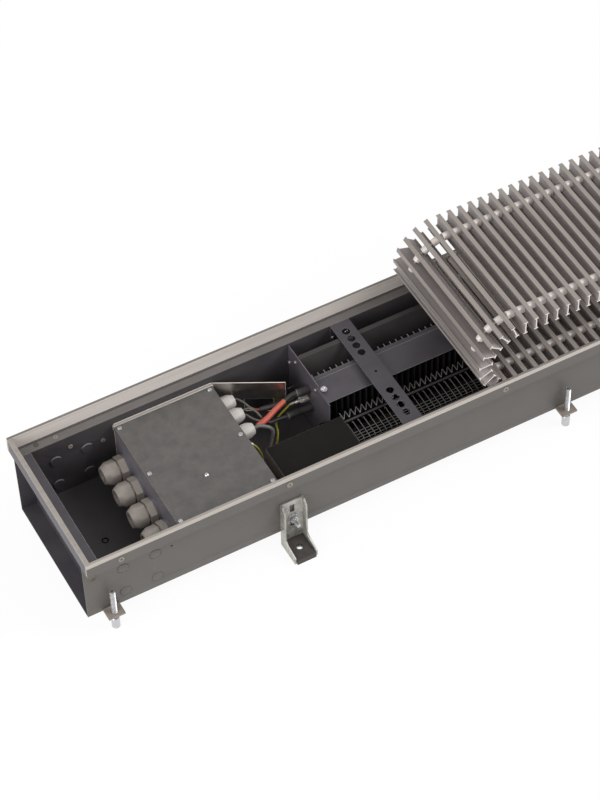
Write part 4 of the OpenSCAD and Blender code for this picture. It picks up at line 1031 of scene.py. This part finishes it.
lug = bmesh.new()
merge(lug, block(at(376, 37.5, 78.1), at(389.6, 46.5, 80)))
for y in (38.9, 45.1):
    merge(lug, lathe([(0, 0), (0, 1.9), (9, 1.9), (9, 0)], at(379, y, 81.4), (1, 0, 0), 16))
merge(lug, block(at(380, 40.2, 80), at(388, 43.8, 83.4)))
lug = finished(lug, "earth_lug", BODY_OF["terminal_caps"], "cap_black", ("terminal_caps",), tinned)
round_edges(lug, 0.3)

# %% [markdown]
# The heater's fins are thin aluminium plates pressed onto the two rods. Each has its top edge
# folded over, which stiffens it. The fins carry a black coat, darkened to near black as painted
# shade for the gaps between them, and the folds take a lighter finish, a painted highlight.

# %% Fins and heater
FIN_START = 395.7
FIN_PITCH = 8.9
FIN_COUNT = 80
FOLD_LEAD = 0.5
FOLD_EDGE = 0.4
folds = bmesh.new()
merge(folds, block(at(0, 36, 114.4), at(1.2, 45, 116.3)),
      [Matrix.Translation(((FIN_START + i * FIN_PITCH - FOLD_LEAD) * MM, 0, 0))
       for i in range(FIN_COUNT)])
folds = finished(folds, "fin_folds", BODY_OF["fin_block"], "fin_metal", (), finishes["bright_fin"])
round_edges(folds, FOLD_EDGE)
print("Fins:", FIN_COUNT)

# %% [markdown]
# A guard of bent steel wire covers the fan. It is made as such guards are: hooks eight millimetres
# apart lie over long wires and are welded where they touch, and one wire bent to a zigzag stands
# along the far side. Curves with a round section are wires, so a route is all that each one needs.

# %% Wire guard
GUARD_START = 399
GUARD_END = 1100
GUARD_PITCH = 8
WIRE_DIA = 1.3
LONG_DIA = 1
FIRST_WIRE = 0.8
HOOK_LAG = 1.4
HOOK_BEND = 2.4
ZIGZAG_BEND = 0.9
zigzag, hooks = [], []
for i in range(int((GUARD_END - GUARD_START) / GUARD_PITCH)):
    x = GUARD_START + FIRST_WIRE + i * GUARD_PITCH
    zigzag += [at(x, -21.8, 105.6), at(x + 0.8, -32.5, 103.6)]
    hook = [at(x + HOOK_LAG, y, z) for y, z in ((-37.6, 98), (-38.6, 102.6), (-70, 101.4), (-71, 97.5))]
    hooks.append(rounded(hook, HOOK_BEND))
long_wires = [[at(GUARD_START, y, z), at(GUARD_END, y, z)]
              for y, z in ((-56, 100.8), (-60.5, 100.8), (-65, 100.6), (-69.5, 100.4), (-71.4, 98))]
guard_body = BODY_OF["wire_guard"]
for name, routes, dia_mm in (("guard_zigzag", [rounded(zigzag, ZIGZAG_BEND, 2)], WIRE_DIA),
                             ("guard_hooks", hooks, WIRE_DIA),
                             ("guard_long_wires", long_wires, LONG_DIA)):
    wires(name, routes, dia_mm, guard_body, "guard_wire", ("wire_guard",), sides=1)
band = bmesh.new()
merge(band, block(at(GUARD_START, -37, 101.6), at(GUARD_END, -33.6, 102.6)))
merge(band, block(at(GUARD_START, -93.4, 98.6), at(GUARD_END, -72, 99.8)))
band = finished(band, "guard_strips", guard_body, "guard_wire", ("wire_guard",), finishes["guard_strip"])
round_edges(band, 0.3)
print("Guard wires:", len(hooks) + len(long_wires) + 1)

# %% [markdown]
# The light is that of a small studio: a bright surround, one broad lamp from the right, so that
# shadows fall softly to the left, and a weaker one that lights the faces turned left. The floor is
# pale. It shows almost white to the camera and in reflections, and still keeps a faint shadow.

# %% Light and floor
SURROUND_STRENGTH = 0.75
LAMPS = {"key": (Vector((2400, -1500, 2900)), 2.2, 95),
         "fill": (Vector((-2600, -900, 1300)), 1.8, 42)}
FLOOR_SIZE = 30
FLOOR_WHITE_SHARE = 0.93

world = bpy.data.worlds.new("studio")
bpy.context.scene.world = world
world.use_nodes = True
world.node_tree.nodes.clear()
rays = add(world.node_tree, "ShaderNodeLightPath")
soft = add(world.node_tree, "ShaderNodeBackground",
           {"Color": linear("fbfaf8"), "Strength": SURROUND_STRENGTH})
white = add(world.node_tree, "ShaderNodeBackground", {"Color": (1, 1, 1, 1), "Strength": 1.0})
seen = add(world.node_tree, "ShaderNodeMixShader",
           {0: rays.outputs["Is Camera Ray"], 1: soft.outputs[0], 2: white.outputs[0]})
add(world.node_tree, "ShaderNodeOutputWorld", {"Surface": seen.outputs[0]})

for name, (lamp_at, size, watts) in LAMPS.items():
    lamp_data = bpy.data.lights.new(name, "AREA")
    lamp_data.energy = watts
    lamp_data.size = size
    lamp = bpy.data.objects.new(name, lamp_data)
    lamp.location = lamp_at * MM
    lamp.rotation_mode = "QUATERNION"
    lamp.rotation_quaternion = lamp_at.to_track_quat("Z", "Y")
    bpy.context.scene.collection.objects.link(lamp)

floor_shape = bmesh.new()
bmesh.ops.create_grid(floor_shape, x_segments=1, y_segments=1, size=FLOOR_SIZE / 2)
floor_mesh = bpy.data.meshes.new("floor")
floor_shape.to_mesh(floor_mesh)
floor_shape.free()
floor = bpy.data.objects.new("floor", floor_mesh)
bpy.context.scene.collection.objects.link(floor)
pale = empty_material("pale_floor")
floor_tree = pale.node_tree
floor_rays = add(floor_tree, "ShaderNodeLightPath")
matt = add(floor_tree, "ShaderNodeBsdfDiffuse", {"Color": linear("f2f1ef")})
glow = add(floor_tree, "ShaderNodeEmission", {"Color": (1, 1, 1, 1), "Strength": 1.0})
mirrored = add(floor_tree, "ShaderNodeMath",
               {0: floor_rays.outputs["Is Camera Ray"], 1: floor_rays.outputs["Is Glossy Ray"]},
               operation="MAXIMUM")
share = add(floor_tree, "ShaderNodeMath", {0: mirrored.outputs[0], 1: FLOOR_WHITE_SHARE},
            operation="MULTIPLY")
floor_look = add(floor_tree, "ShaderNodeMixShader",
                 {0: share.outputs[0], 1: matt.outputs[0], 2: glow.outputs[0]})
add(floor_tree, "ShaderNodeOutputMaterial", {"Surface": floor_look.outputs[0]})
floor_mesh.materials.append(pale)
bpy.context.scene.view_settings.view_transform = "Standard"
print("Lamps:", len(LAMPS))
